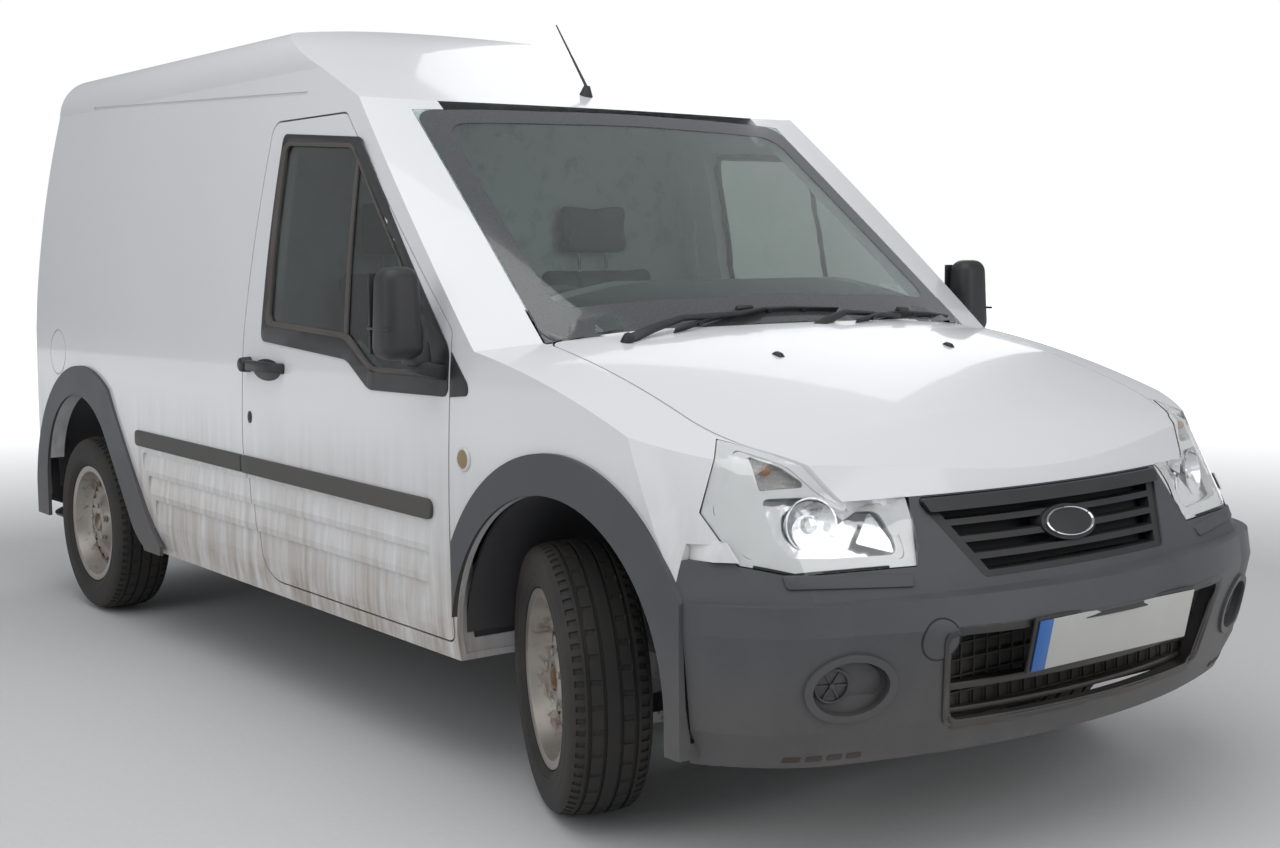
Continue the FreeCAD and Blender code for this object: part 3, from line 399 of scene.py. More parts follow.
@kept
def mirror_metal(name):
    """Vacuum-metallised reflector with faint ripples."""
    metal = Shading(name, (0.60, 0.61, 0.63), 0.14, 1.0)
    space = metal.space()
    ripple = metal.noise(space, 30.0, 3.0)
    return metal.wire(colour=metal.tint(ripple, (0.52, 0.53, 0.55), (0.66, 0.67, 0.69)),
                      roughness=metal.spread(metal.noise(space, 60.0, 4.0), 0.4, 0.7, 0.10, 0.20),
                      normal=metal.bump(ripple, 0.0015, 0.4))


@kept
def lamp_frame(name):
    """Satin white-silver bezel round the reflectors."""
    bezel = Shading(name, (0.66, 0.67, 0.68), 0.35)
    bezel.fix(coat_weight=0.3)
    space = bezel.space()
    return bezel.wire(colour=bezel.tint(bezel.noise(space, 12.0, 5.0), (0.60, 0.61, 0.62),
                                        (0.72, 0.73, 0.74)),
                      normal=bezel.bump(bezel.noise(space, 300.0, 2.0), 0.0001, 0.3))


def ribbed_lens(name, colour, direction, ribs):
    """Tinted or clear lamp plastic with flutes moulded in."""
    lens = Shading(name, colour, 0.08)
    lens.fix(transmission_weight=0.65, ior=1.5)
    space = lens.space()
    flutes = lens.waves(space, ribs, direction)
    deep = tuple(channel * 0.7 for channel in colour)
    return lens.wire(colour=lens.tint(lens.noise(space, 18.0, 4.0), colour, deep),
                     normal=lens.bump(flutes, 0.0012, 0.8))


@kept
def amber_lens(name):
    return ribbed_lens(name, (0.70, 0.22, 0.03), "Y", 45.0)


@kept
def red_lens(name):
    return ribbed_lens(name, (0.42, 0.012, 0.010), "Z", 40.0)


@kept
def clear_ribs(name):
    return ribbed_lens(name, (0.80, 0.79, 0.78), "Y", 42.0)


@kept
def repeater_lens(name):
    return ribbed_lens(name, (0.62, 0.47, 0.24), "Z", 90.0)


@kept
def tyre_rubber(name):
    """Rubber with a worn grey tread, dusty walls and fine moulded texture."""
    colours = finish_settings()
    rubber = Shading(name, colours.rubber, 0.78)
    space = rubber.space()
    dust = rubber.spread(rubber.noise(space, 7.0, 7.0, 0.68), 0.42, 0.80, 0.0, 0.55)
    wall = rubber.attribute("wall")
    dust = rubber.sum("MULTIPLY", dust, rubber.spread(wall, 0.0, 1.0, 0.30, 1.0))
    colour = rubber.tint(dust, colours.rubber, (0.085, 0.070, 0.056))
    fine = rubber.bump(rubber.noise(space, 420.0, 3.0), 0.0004, 0.35)
    return rubber.wire(colour=colour, roughness=rubber.spread(dust, 0.0, 0.5, 0.72, 0.92), normal=fine)


@kept
def wheel_paint(name):
    """Silver wheel paint, stained brown and rusted round the slots, hub and rim edge."""
    colours = finish_settings()
    steel = Shading(name, colours.wheel, 0.42, 0.55)
    space = steel.space()
    stain = steel.noise(space, 16.0, 8.0, 0.70, 0.6)
    edge = steel.attribute("edge")
    rust = steel.spread(steel.sum("ADD", stain, steel.sum("MULTIPLY", edge, 0.30)), 0.60, 0.78)
    film = steel.spread(steel.noise(space, 5.0, 5.0), 0.30, 0.75, 0.10, 0.75)
    dull = steel.tint(film, colours.wheel, (0.20, 0.165, 0.13))
    colour = steel.tint(rust, dull, colours.rust)
    rough = steel.spread(rust, 0.0, 1.0, 0.42, 0.88)
    metal = steel.spread(rust, 0.0, 1.0, 0.55, 0.0)
    return steel.wire(colour=colour, roughness=rough, metallic=metal,
                      normal=steel.bump(steel.sum("ADD", stain, rust), 0.0006, 0.5))


def rusty(name, colour, metallic, amount):
    """Bare or painted metal under the floor, with rust blooms and grime."""
    metal = Shading(name, colour, 0.55, metallic)
    space = metal.space()
    bloom = metal.noise(space, 24.0, 7.0, 0.7)
    rust = metal.spread(bloom, 0.70 - 0.25 * amount, 0.85 - 0.2 * amount)
    colour = metal.tint(rust, colour, finish_settings().rust)
    return metal.wire(colour=colour, roughness=metal.spread(rust, 0.0, 1.0, 0.5, 0.9),
                      metallic=metal.spread(rust, 0.0, 1.0, metallic, 0.0),
                      normal=metal.bump(metal.noise(space, 160.0, 4.0), 0.0006, 0.6))


@kept
def cast_metal(name):
    return rusty(name, (0.16, 0.16, 0.165), 0.7, 0.7)


@kept
def plain_steel(name):
    return rusty(name, (0.30, 0.30, 0.30), 0.85, 0.5)


@kept
def exhaust_metal(name):
    return rusty(name, (0.25, 0.22, 0.19), 0.8, 1.0)


@kept
def underseal(name):
    """Rubbery coating under the floor, stippled and dusty."""
    coat = Shading(name, (0.035, 0.034, 0.032), 0.85)
    space = coat.space()
    stipple = coat.noise(space, 170.0, 4.0, 0.6)
    dust = coat.spread(coat.noise(space, 5.0, 6.0), 0.40, 0.75, 0.0, 0.6)
    return coat.wire(colour=coat.tint(dust, (0.030, 0.029, 0.028), (0.085, 0.072, 0.058)),
                     normal=coat.bump(stipple, 0.0012, 0.7))


@kept
def seat_cloth(name):
    """Flat woven seat cloth with a slightly hairy nap."""
    colours = finish_settings()
    cloth = Shading(name, colours.cloth, 0.9)
    cloth.fix(sheen_weight=0.35, sheen_roughness=0.5)
    warp = cloth.waves(cloth.space(), 260.0, "Y", 0.8)
    weft = cloth.waves(cloth.space(), 260.0, "X", 0.8)
    rise = cloth.waves(cloth.space(), 260.0, "Z", 0.8)
    weave = cloth.sum("MULTIPLY", warp, cloth.sum("MAXIMUM", weft, rise))
    fleck = cloth.spread(cloth.noise(cloth.space(), 420.0, 2.0), 0.45, 0.65)
    light = tuple(channel * 1.9 for channel in colours.cloth)
    return cloth.wire(colour=cloth.tint(cloth.sum("MULTIPLY", fleck, weave), colours.cloth, light),
                      normal=cloth.bump(weave, 0.0006, 0.6))


@kept
def plate_face(name):
    """Reflective plate sheet: glass beads under a clear film."""
    sheet = Shading(name, (0.50, 0.50, 0.47), 0.30)
    sheet.fix(coat_weight=0.4, coat_roughness=0.1)
    space = sheet.space()
    beads = sheet.cells(space, 1500.0)
    grime = sheet.spread(sheet.noise(space, 9.0, 5.0), 0.4, 0.8, 0.0, 0.25)
    return sheet.wire(colour=sheet.tint(grime, (0.50, 0.50, 0.47), (0.34, 0.33, 0.30)),
                      normal=sheet.bump(beads, 0.0001, 0.3))


@kept
def plate_band(name):
    """Blank coloured end of the plate."""
    band = Shading(name, (0.012, 0.12, 0.42), 0.35)
    space = band.space()
    return band.wire(colour=band.tint(band.noise(space, 20.0, 4.0), (0.010, 0.11, 0.40), (0.02, 0.15, 0.46)),
                     normal=band.bump(band.cells(space, 1500.0), 0.0001, 0.3))


# Making meshes


def mm(x, y, z):
    """Point given in millimetres."""
    return Vector((x, y, z)) * 0.001


def side_points(corners, y=0.0):
    """Points of a side view, given as (x, z)."""
    return [Vector((x, y, z)) for x, z in corners]


def end_points(corners, x=0.0):
    """Points of a view from the end, given as (y, z)."""
    return [Vector((x, y, z)) for y, z in corners]


def oblong(y, z, half_width, half_height):
    """Corners (y, z) of a rectangle about a point."""
    return ((y - half_width, z - half_height), (y + half_width, z - half_height),
            (y + half_width, z + half_height), (y - half_width, z + half_height))


def joined(target, part):
    """Add one bmesh to another and free it."""
    carrier = bpy.data.meshes.new("carrier")
    part.to_mesh(carrier)
    target.from_mesh(carrier)
    bpy.data.meshes.remove(carrier)
    part.free()
    return target


def moved(part, matrix):
    """Move or turn a bmesh in place."""
    bmesh.ops.transform(part, matrix=matrix, verts=part.verts)
    return part


def mirrored_copy(part):
    """The same shape on the other side of the van."""
    other = part.copy()
    bmesh.ops.scale(other, vec=(1.0, -1.0, 1.0), verts=other.verts)
    bmesh.ops.reverse_faces(other, faces=other.faces)
    return other


def both_hands(part):
    """The right-hand part with its mirror image added."""
    return joined(part, mirrored_copy(part))


# The left copy is taken before the right-hand shape is used up
HANDS = (("left", mirrored_copy), ("right", lambda shape: shape))


def fit_axes(origin, forward, up=(0.0, 0.0, 1.0)):
    """Matrix whose Z axis is forward and whose Y axis is nearest to up."""
    z = Vector(forward).normalized()
    y = (Vector(up) - z * Vector(up).dot(z)).normalized()
    x = y.cross(z)
    turn = Matrix((x, y, z)).transposed().to_4x4()
    return Matrix.Translation(origin) @ turn


def dress(piece, *materials):
    """Give a piece these materials and no other."""
    piece.data.materials.clear()
    for material in materials:
        piece.data.materials.append(material)


def finished(name, shape, body, slot, *materials, sharp=38.0, replaces=(), soft=0):
    """Make a piece of a bmesh: normals outward, smooth faces, riding on its body."""
    bmesh.ops.recalc_face_normals(shape, faces=shape.faces)
    mesh = bpy.data.meshes.new(name)
    shape.to_mesh(mesh)
    shape.free()
    piece = bpy.data.objects.new(name, mesh)
    bpy.context.collection.objects.link(piece)
    dress(piece, *materials)
    mesh.shade_smooth()
    if soft:
        smooth = piece.modifiers.new("Rounding", "SUBSURF")
        smooth.levels = soft
        smooth.render_levels = soft
    else:
        mesh.set_sharp_from_angle(angle=math.radians(sharp))
    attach(piece, body)
    if replaces:
        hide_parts(*replaces)
    return piece


def rounded(shape, edges, width, segments=3):
    """Round some edges of a shape."""
    if width > 0.0 and edges:
        bmesh.ops.bevel(shape, geom=edges, offset=width, offset_type="OFFSET", segments=segments,
                        profile=0.5, affect="EDGES", material=-1, clamp_overlap=True)
    return shape


def block(size, place=None, edge=0.002, segments=2):
    """Box of a given size about its centre, with eased edges."""
    shape = bmesh.new()
    bmesh.ops.create_cube(shape, size=1.0, matrix=Matrix.Diagonal((*size, 1.0)))
    rounded(shape, shape.edges[:], edge, segments)
    return moved(shape, place) if place is not None else shape


def tapered_block(low_size, high_size, height, place=None, edge=0.002, segments=2):
    """Frustum from one rectangle to another, standing on the origin."""
    shape = bmesh.new()
    bmesh.ops.create_cube(shape, size=1.0)
    for vert in shape.verts:
        size = high_size if vert.co.z > 0.0 else low_size
        vert.co = Vector((vert.co.x * size[0], vert.co.y * size[1], height if vert.co.z > 0.0 else 0.0))
    rounded(shape, shape.edges[:], edge, segments)
    return moved(shape, place) if place is not None else shape


def corners_rounded(shape, corners, radius, segments):
    """Round some corners of a sheet."""
    bmesh.ops.bevel(shape, geom=corners, offset=radius, offset_type="OFFSET", segments=segments,
                    profile=0.5, affect="VERTICES", material=-1, clamp_overlap=True)
    return shape


def sheet_of(points, radius=0.0):
    """Flat face through the points, corners rounded."""
    shape = bmesh.new()
    face = shape.faces.new([shape.verts.new(point) for point in points])
    if radius > 0.0:
        corners_rounded(shape, face.verts[:], radius, 5)
    return shape


def hollow(shape):
    """Fill only the ring between the nested outlines of a sheet."""
    bmesh.ops.delete(shape, geom=shape.faces[:], context="FACES_ONLY")
    bmesh.ops.triangle_fill(shape, edges=shape.edges[:], use_beauty=True)
    return shape


def framed_sheet(outer, inner, outer_radius, inner_radius):
    """Flat ring between two rounded outlines."""
    return hollow(joined(sheet_of(outer, outer_radius), sheet_of(inner, inner_radius)))


def oval_sheet(half_width, half_height, segments=40):
    """Flat oval about the origin."""
    shape = bmesh.new()
    bmesh.ops.create_circle(shape, cap_ends=True, radius=1.0, segments=segments)
    bmesh.ops.scale(shape, vec=(half_width, half_height, 1.0), verts=shape.verts)
    return shape


def thickened(shape, rise, edge=0.0, segments=3, both_edges=False):
    """Extrude a sheet by a vector into a closed plate and ease the edge of its far face, or of both."""
    base = shape.faces[:]
    grown = bmesh.ops.extrude_face_region(shape, geom=base, use_keep_orig=True)
    top = [item for item in grown["geom"] if isinstance(item, bmesh.types.BMFace)]
    corners = {vert for face in top for vert in face.verts}
    bmesh.ops.translate(shape, vec=rise, verts=list(corners))
    lips = set(top) | (set(base) if both_edges else set())
    rims = [edge_ for edge_ in shape.edges
            if sum(1 for face in edge_.link_faces if face in lips) == 1 and len(edge_.link_faces) == 2]
    if not both_edges:
        rims = [edge_ for edge_ in rims if edge_.verts[0] in corners and edge_.verts[1] in corners]
    return rounded(shape, rims, edge, segments)


def gridded(shape, axes, step):
    """Cut a sheet by parallel planes so that it can bend."""
    for axis in axes:
        values = [vert.co[axis] for vert in shape.verts]
        low = min(values)
        count = int((max(values) - low) / step)
        for index in range(1, count + 1):
            point = Vector((0.0, 0.0, 0.0))
            point[axis] = low + index * step
            normal = Vector((0.0, 0.0, 0.0))
            normal[axis] = 1.0
            everything = shape.verts[:] + shape.edges[:] + shape.faces[:]
            bmesh.ops.bisect_plane(shape, geom=everything, dist=1e-5, plane_co=point, plane_no=normal)
    return shape


def surface_of(*names):
    """Ray-cast tree over the CAD surfaces of the named nodes."""
    shape = bmesh.new()
    for name in names:
        shape.from_mesh(NODES[name].data)
    tree = BVHTree.FromBMesh(shape)
    shape.free()
    return tree


RAY_LENGTH = 2.5
LAYER_GAP = 0.004
SMOOTHING_ROUNDS = 80


def draped(shape, tree, direction, lift=0.0, probe=0.006, facing=0.0):
    """Push a flat sheet along a direction until it lies on the surface, bridging narrow gaps.

    A point past the surface's edge, or over one turned too far aside, spans smoothly between its neighbours.
    """
    direction = Vector(direction).normalized()
    side = direction.orthogonal().normalized() * probe
    other = direction.cross(side)
    pushes = {}
    for vert in shape.verts:
        start = vert.co - direction * RAY_LENGTH
        nearest = None
        for offset in (Vector(), side, -side, other, -other):
            found = tree.ray_cast(start + offset, direction)
            if found[0] is None or -found[1].dot(direction) < facing:
                continue
            if nearest is None or found[3] < nearest - LAYER_GAP:
                nearest = found[3]
        if nearest is not None:
            pushes[vert] = nearest - lift - RAY_LENGTH
    free = [vert for vert in shape.verts if vert not in pushes]
    while len(pushes) < len(shape.verts):
        spread = {}
        for vert in shape.verts:
            if vert in pushes:
                continue
            known = [pushes[edge.other_vert(vert)] for edge in vert.link_edges
                     if edge.other_vert(vert) in pushes]
            if known:
                spread[vert] = sum(known) / len(known)
        if not spread:
            break
        pushes.update(spread)
    for _ in range(SMOOTHING_ROUNDS if pushes else 0):
        for vert in free:
            around = [pushes[edge.other_vert(vert)] for edge in vert.link_edges
                      if edge.other_vert(vert) in pushes]
            pushes[vert] = sum(around) / len(around) if around else 0.0
    for vert, push in pushes.items():
        vert.co += direction * push
    return shape


def turned(profile, axis=(0.0, 0.0, 1.0), steps=48, start=(1.0, 0.0, 0.0), closed=False):
    """Full turn of a profile of (radius, height) pairs about an axis through the origin."""
    axis = Vector(axis).normalized()
    start = Vector(start)
    shape = bmesh.new()
    verts = [shape.verts.new(start * radius + axis * height) for radius, height in profile]
    edges = [shape.edges.new(pair) for pair in zip(verts, verts[1:])]
    if closed:
        edges.append(shape.edges.new((verts[-1], verts[0])))
    bmesh.ops.spin(shape, geom=verts + edges, cent=(0.0, 0.0, 0.0), axis=axis, angle=math.tau,
                   steps=steps, use_merge=True, use_normal_flip=False)
    bmesh.ops.remove_doubles(shape, verts=shape.verts, dist=1e-5)
    bmesh.ops.recalc_face_normals(shape, faces=shape.faces)
    return shape


def rod(path, radii, sides=12):
    """Round bar along a path of points, its thickness given at each."""
    shape = bmesh.new()
    rings = []
    for index, point in enumerate(path):
        before = path[max(index - 1, 0)]
        after = path[min(index + 1, len(path) - 1)]
        place = fit_axes(point, after - before, (0.13, 0.17, 0.98))
        made = bmesh.ops.create_circle(shape, radius=radii[index], segments=sides, matrix=place)
        ring = set(made["verts"])
        rings.append([edge for edge in shape.edges if edge.verts[0] in ring and edge.verts[1] in ring])
    for first, second in zip(rings, rings[1:]):
        bmesh.ops.bridge_loops(shape, edges=first + second)
    bmesh.ops.holes_fill(shape, edges=rings[0] + rings[-1], sides=sides)
    return shape


def flat_bar(path, widths, depth, up, edge=0.001):
    """Rectangular bar along a path: its width at each point, and one depth."""
    shape = bmesh.new()
    rings = []
    for index, point in enumerate(path):
        before = path[max(index - 1, 0)]
        after = path[min(index + 1, len(path) - 1)]
        place = fit_axes(point, after - before, up)
        made = bmesh.ops.create_circle(shape, radius=math.sqrt(0.5), segments=4,
                                       matrix=place @ Matrix.Diagonal((widths[index], depth, 1.0, 1.0))
                                       @ Matrix.Rotation(math.radians(45.0), 4, "Z"))
        ring = set(made["verts"])
        rings.append([edge_ for edge_ in shape.edges if edge_.verts[0] in ring and edge_.verts[1] in ring])
    for first, second in zip(rings, rings[1:]):
        bmesh.ops.bridge_loops(shape, edges=first + second)
    bmesh.ops.holes_fill(shape, edges=rings[0] + rings[-1], sides=4)
    long_edges = [item for item in shape.edges if len(item.link_faces) == 2
                  and item.link_faces[0].normal.angle(item.link_faces[1].normal, 0.0) > math.radians(40)]
    return rounded(shape, long_edges, edge, 2)


def screw_head(radius, place):
    """Hexagonal head with a domed top."""
    shape = bmesh.new()
    bmesh.ops.create_cone(shape, cap_ends=True, segments=6, radius1=radius, radius2=radius * 0.94,
                          depth=radius * 0.9)
    top = [face for face in shape.faces if face.normal.z > 0.9]
    bmesh.ops.inset_region(shape, faces=top, thickness=radius * 0.25, depth=radius * 0.12)
    return moved(shape, place)


# Pieces


class VAN_OT_finishes(Operator):
    """Give every carried solid its paint, plastic, glass or metal"""

    bl_idname = "van.finishes"
    bl_label = "Finish the solids"

    def execute(self, context):
        paint = body_paint()
        finishes = {
            paint: ("side_panel_right", "side_panel_left", "sliding_door", "roof", "front_wings", "bonnet",
                    "front_door_right", "front_door_left", "rear_door_right", "rear_door_left", "fuel_flap"),
            bumper_plastic(): ("front_bumper", "rear_bumper", "arch_flares"),
            black_trim(): ("grille", "cowl", "aerial", "mirror_right", "mirror_left"),
            window_glass(): ("windscreen",),
            dark_glass(): ("door_glass_right", "door_glass_left"),
            lamp_lens(): ("headlamps",),
            red_lens(): ("tail_lamps",),
            underseal(): ("underbody",),
            shell_inside(): ("bulkhead",),
            cabin_plastic(): ("dashboard", "steering_wheel", "fuel_tank"),
            seat_cloth(): ("seats",),
            cast_metal(): ("engine_block", "knuckle_right", "knuckle_left"),
            plain_steel(): ("front_suspension", "rear_axle"),
            exhaust_metal(): ("exhaust",),
            tyre_rubber(): ("tyre_front_right", "tyre_front_left", "tyre_rear_right", "tyre_rear_left"),
            wheel_paint(): ("rim_front_right", "rim_front_left", "rim_rear_right", "rim_rear_left"),
        }
        for material, names in finishes.items():
            for name in names:
                dress(NODES[name], material)
        return {"FINISHED"}


# Radius, then distance from the wheel's middle plane: half of the tyre, from the bead to the crown
TYRE_HALF = (
    (0.1910, 0.0740), (0.1990, 0.0745), (0.2068, 0.0756), (0.2084, 0.0800), (0.2105, 0.0848),
    (0.2150, 0.0872), (0.2185, 0.0900), (0.2225, 0.0905), (0.2250, 0.0932), (0.2330, 0.0946),
    (0.2336, 0.0954), (0.2400, 0.0957), (0.2406, 0.0951), (0.2520, 0.0957), (0.2640, 0.0956),
    (0.2646, 0.0950), (0.2760, 0.0946), (0.2860, 0.0926), (0.2925, 0.0900), (0.2975, 0.0862),
    (0.3015, 0.0815), (0.3048, 0.0760), (0.3070, 0.0690), (0.3086, 0.0620), (0.3092, 0.0560),
    (0.3034, 0.0548), (0.3034, 0.0484), (0.3102, 0.0470), (0.3112, 0.0330), (0.3116, 0.0222),
    (0.3055, 0.0212), (0.3055, 0.0148), (0.3118, 0.0138), (0.3119, 0.0),
)
TREAD_COLUMNS = 72
# Zones of the tread: least and most distance from the middle plane, and least radius
LUG_ZONE = (0.060, 0.0835, 0.300)
SIPE_ZONE = (0.022, 0.047, 0.309)
# Distance from the middle plane where the finish is all sidewall
WALL_REACH = 0.09
# Radius and distance out from the wheel's middle: rim barrel, then the pressed disc
RIM_SECTION = (
    (0.1900, -0.0748), (0.1902, -0.0762), (0.2058, -0.0770), (0.2060, -0.0828), (0.2020, -0.0826),
    (0.1845, -0.0800), (0.1780, -0.0740), (0.1612, -0.0590), (0.1602, 0.0240), (0.1762, 0.0400),
    (0.1838, 0.0760), (0.1858, 0.0800), (0.2035, 0.0828), (0.2058, 0.0822), (0.2058, 0.0772),
    (0.1902, 0.0758), (0.1900, 0.0745), (0.1838, 0.0450), (0.1662, 0.0200), (0.1662, -0.0500),
    (0.1895, -0.0600),
)
DISC_SECTION = (
    (0.0300, 0.0600), (0.0560, 0.0598), (0.0622, 0.0560), (0.0700, 0.0440), (0.0800, 0.0350),
    (0.0920, 0.0268), (0.1060, 0.0222), (0.1200, 0.0262),
)
DISC_RIM = ((0.1545, 0.0258), (0.1632, 0.0180), (0.1632, 0.0125), (0.1530, 0.0200))
DISC_BACK = ((0.1200, 0.0206), (0.1060, 0.0162), (0.0900, 0.0216), (0.0780, 0.0300),
             (0.0600, 0.0540), (0.0300, 0.0540))
BOLT_CIRCLE = 0.0600
HUB_RADIUS = 0.045
# Slotted ring of the disc: inner and outer radius, height out from the middle, rise of its swage
SLOT_RING = (0.1200, 0.1545)
SLOT_RING_HEIGHT = 0.0262
SLOT_RING_RISE = 0.0085
SLOT_HALF_LENGTH = 0.0118
SLOT_HALF_WIDTH = 0.0072
SLOT_LIP = 0.0056
# Radius of each ring of worn paint, and how far the wear spreads from it
WORN_RINGS = ((0.139, 0.014), (0.168, 0.012))


def marked(piece, name, value_of):
    """Store a number on each vertex, for the finish to read."""
    layer = piece.data.attributes.new(name, "FLOAT", "POINT")
    for vertex in piece.data.vertices:
        layer.data[vertex.index].value = value_of(vertex.co)
    return piece


def tyre_shape():
    """Road tyre: ribbed sidewalls, four grooves, and lugs and sipes at the shoulders."""
    depth = bpy.context.scene.van_sizes.tread_depth
    profile = [(radius, -out) for radius, out in TYRE_HALF] + list(reversed(TYRE_HALF[:-1]))
    shape = turned(profile, steps=TREAD_COLUMNS * 2, closed=True)
    sector = math.tau / (TREAD_COLUMNS * 2)
    lugs = []
    sipes = []
    for face in shape.faces:
        middle = face.calc_center_median()
        radius = math.hypot(middle.x, middle.y)
        column = int((math.atan2(middle.y, middle.x) % math.tau) / sector)
        across = abs(middle.z)
        if LUG_ZONE[0] < across < LUG_ZONE[1] and radius > LUG_ZONE[2] and column % 2 == 0:
            lugs.append(face)
        elif SIPE_ZONE[0] < across < SIPE_ZONE[1] and radius > SIPE_ZONE[2]:
            if column % 4 == (0 if middle.z > 0.0 else 2):
                sipes.append(face)
    for faces, width, sink in ((lugs, 0.0012, depth * 0.75), (sipes, 0.0022, depth * 0.5)):
        bmesh.ops.inset_region(shape, faces=faces, thickness=width, use_even_offset=True)
        verts = {vert for face in faces for vert in face.verts}
        for vert in verts:
            flat = Vector((vert.co.x, vert.co.y, 0.0)).normalized()
            vert.co -= flat * sink
    return shape


def slotted_zone(count):
    """The ring of the disc that carries the slots: one oval hole, repeated by spinning."""
    half = math.pi / count
    inner, outer = SLOT_RING
    sides = 10
    sector = bmesh.new()
    corners = []
    for index in range(sides):
        corners.append((inner + (outer - inner) * index / sides, -half))
    for index in range(sides):
        corners.append((outer, -half + 2.0 * half * index / sides))
    for index in range(sides):
        corners.append((outer - (outer - inner) * index / sides, half))
    for index in range(sides):
        corners.append((inner, half - 2.0 * half * index / sides))
    middle = 0.5 * (inner + outer) + 0.001

    def level(radius):
        """Height of the pressing at a radius."""
        return SLOT_RING_HEIGHT + SLOT_RING_RISE * math.sin(math.pi * (radius - inner) / (outer - inner))

    rim = [sector.verts.new((radius * math.cos(angle), radius * math.sin(angle), level(radius)))
           for radius, angle in corners]
    hole = []
    for index in range(len(corners)):
        turn = math.tau * (index + 5) / len(corners) + math.pi
        along = SLOT_HALF_LENGTH * math.cos(turn)
        across = SLOT_HALF_WIDTH * math.sin(turn)
        across *= 1.0 + 0.15 * math.cos(turn)
        radius = middle + along
        hole.append(sector.verts.new((radius, across, level(radius) - 0.0008)))
    rim_edges = [sector.edges.new((rim[i - 1], rim[i])) for i in range(len(rim))]
    hole_edges = [sector.edges.new((hole[i - 1], hole[i])) for i in range(len(hole))]
    bmesh.ops.bridge_loops(sector, edges=rim_edges + hole_edges)
    pushed = bmesh.ops.extrude_edge_only(sector, edges=[edge for edge in hole_edges if edge.is_valid])
    fresh = [item for item in pushed["geom"] if isinstance(item, bmesh.types.BMVert)]
    bmesh.ops.translate(sector, vec=(0.0, 0.0, -SLOT_LIP), verts=fresh)
    bmesh.ops.spin(sector, geom=sector.verts[:] + sector.edges[:] + sector.faces[:], cent=(0.0, 0.0, 0.0),
                   axis=(0.0, 0.0, 1.0), angle=math.tau, steps=count, use_duplicate=True)
    bmesh.ops.remove_doubles(sector, verts=sector.verts, dist=2e-5)
    return sector


def disc_shape(count):
    """Pressed steel disc, its slotted ring between the dish and the flange."""
    front = turned(DISC_SECTION, steps=count * 10)
    flange = turned(DISC_RIM, steps=count * 10)
    back = turned(DISC_BACK, steps=count * 10)
    return joined(joined(joined(slotted_zone(count), front), flange), back)


def wheel_shape():
    """Steel wheel: rim, disc, hub cap, bolts on their washers and the valve."""
    sizes = bpy.context.scene.van_sizes
    rim = turned(RIM_SECTION, steps=96, closed=True)
    bmesh.ops.recalc_face_normals(rim, faces=rim.faces)
    disc = disc_shape(sizes.wheel_slots)
    bmesh.ops.recalc_face_normals(disc, faces=disc.faces)
    shape = joined(rim, disc)
    cap = turned(((0.0001, 0.0640), (0.0180, 0.0636), (0.0262, 0.0610), (0.0298, 0.0560),
                  (0.0302, 0.0480)), steps=48)
    joined(shape, cap)
    for index in range(sizes.wheel_bolts):
        angle = math.tau * (index + 0.25) / sizes.wheel_bolts
        x, y = BOLT_CIRCLE * math.cos(angle), BOLT_CIRCLE * math.sin(angle)
        joined(shape, screw_head(0.0095, Matrix.Translation((x, y, 0.0600))))
        washer = turned(((0.0140, 0.0), (0.0135, 0.0022), (0.0095, 0.0030)), steps=20)
        joined(shape, moved(washer, Matrix.Translation((x, y, 0.0545))))
    valve = Matrix.Translation((0.1745, 0.0, 0.0460)) @ Matrix.Rotation(math.radians(-14.0), 4, "Y")
    stem = turned(((0.0055, 0.0), (0.0050, 0.0120), (0.0034, 0.0150), (0.0040, 0.0160), (0.0040, 0.0250),
                   (0.0001, 0.0256)), steps=14)
    return joined(shape, moved(stem, valve))


class VAN_OT_wheels(Operator):
    """Grooved tyres and slotted steel wheels"""

    bl_idname = "van.wheels"
    bl_label = "Wheels and tyres"

    def execute(self, context):
        for end in ("front", "rear"):
            for side, sign in SIDES:
                name = end + "_" + side
                joint = JOINTS["spin_" + name]
                axis = Vector(joint["axis"])
                outward = axis if axis.y * sign > 0.0 else -axis
                middle = Vector(joint["pos_m"])
                place = fit_axes(middle, outward)
                body = "wheel_" + name
                tyre = finished("tyre_tread_" + name, moved(tyre_shape(), place), body, "tyre",
                                tyre_rubber(), sharp=28.0, replaces=("tyre_" + name,))
                marked(tyre, "wall", lambda co: min(1.0, abs((co - middle).dot(outward)) / WALL_REACH))
                rim = finished("steel_wheel_" + name, moved(wheel_shape(), place), body, "wheel_steel",
                               wheel_paint(), sharp=42.0, replaces=("rim_" + name,))
                marked(rim, "edge",
                       lambda co: self.wear((co - middle) - outward * (co - middle).dot(outward)))
        return {"FINISHED"}

    def wear(self, spoke):
        """How worn the paint is, by distance from the axle: most at slots, flange and hub."""
        radius = spoke.length
        near_slots, near_flange = (1.0 - abs(radius - ring) / reach for ring, reach in WORN_RINGS)
        return max(0.0, near_slots, near_flange, 0.8 if radius < HUB_RADIUS else 0.0)


MOULDING_REAR = -0.9995
MOULDING_FRONT = 0.9285
# Ends of the mouldings at the gap behind the front door and at the sliding door's front edge
DOOR_SPLIT = (-0.166, -0.156)
SLIDE_SPLIT = (-0.2555, -0.2445)


def moulding_edge(x, upper):
    """Height of the moulding's edge, which drops 12 to 13 mm from rear to front."""
    rear, front = (0.6970, 0.6840) if upper else (0.6460, 0.6340)
    return rear + (front - rear) * (x - MOULDING_REAR) / (MOULDING_FRONT - MOULDING_REAR)


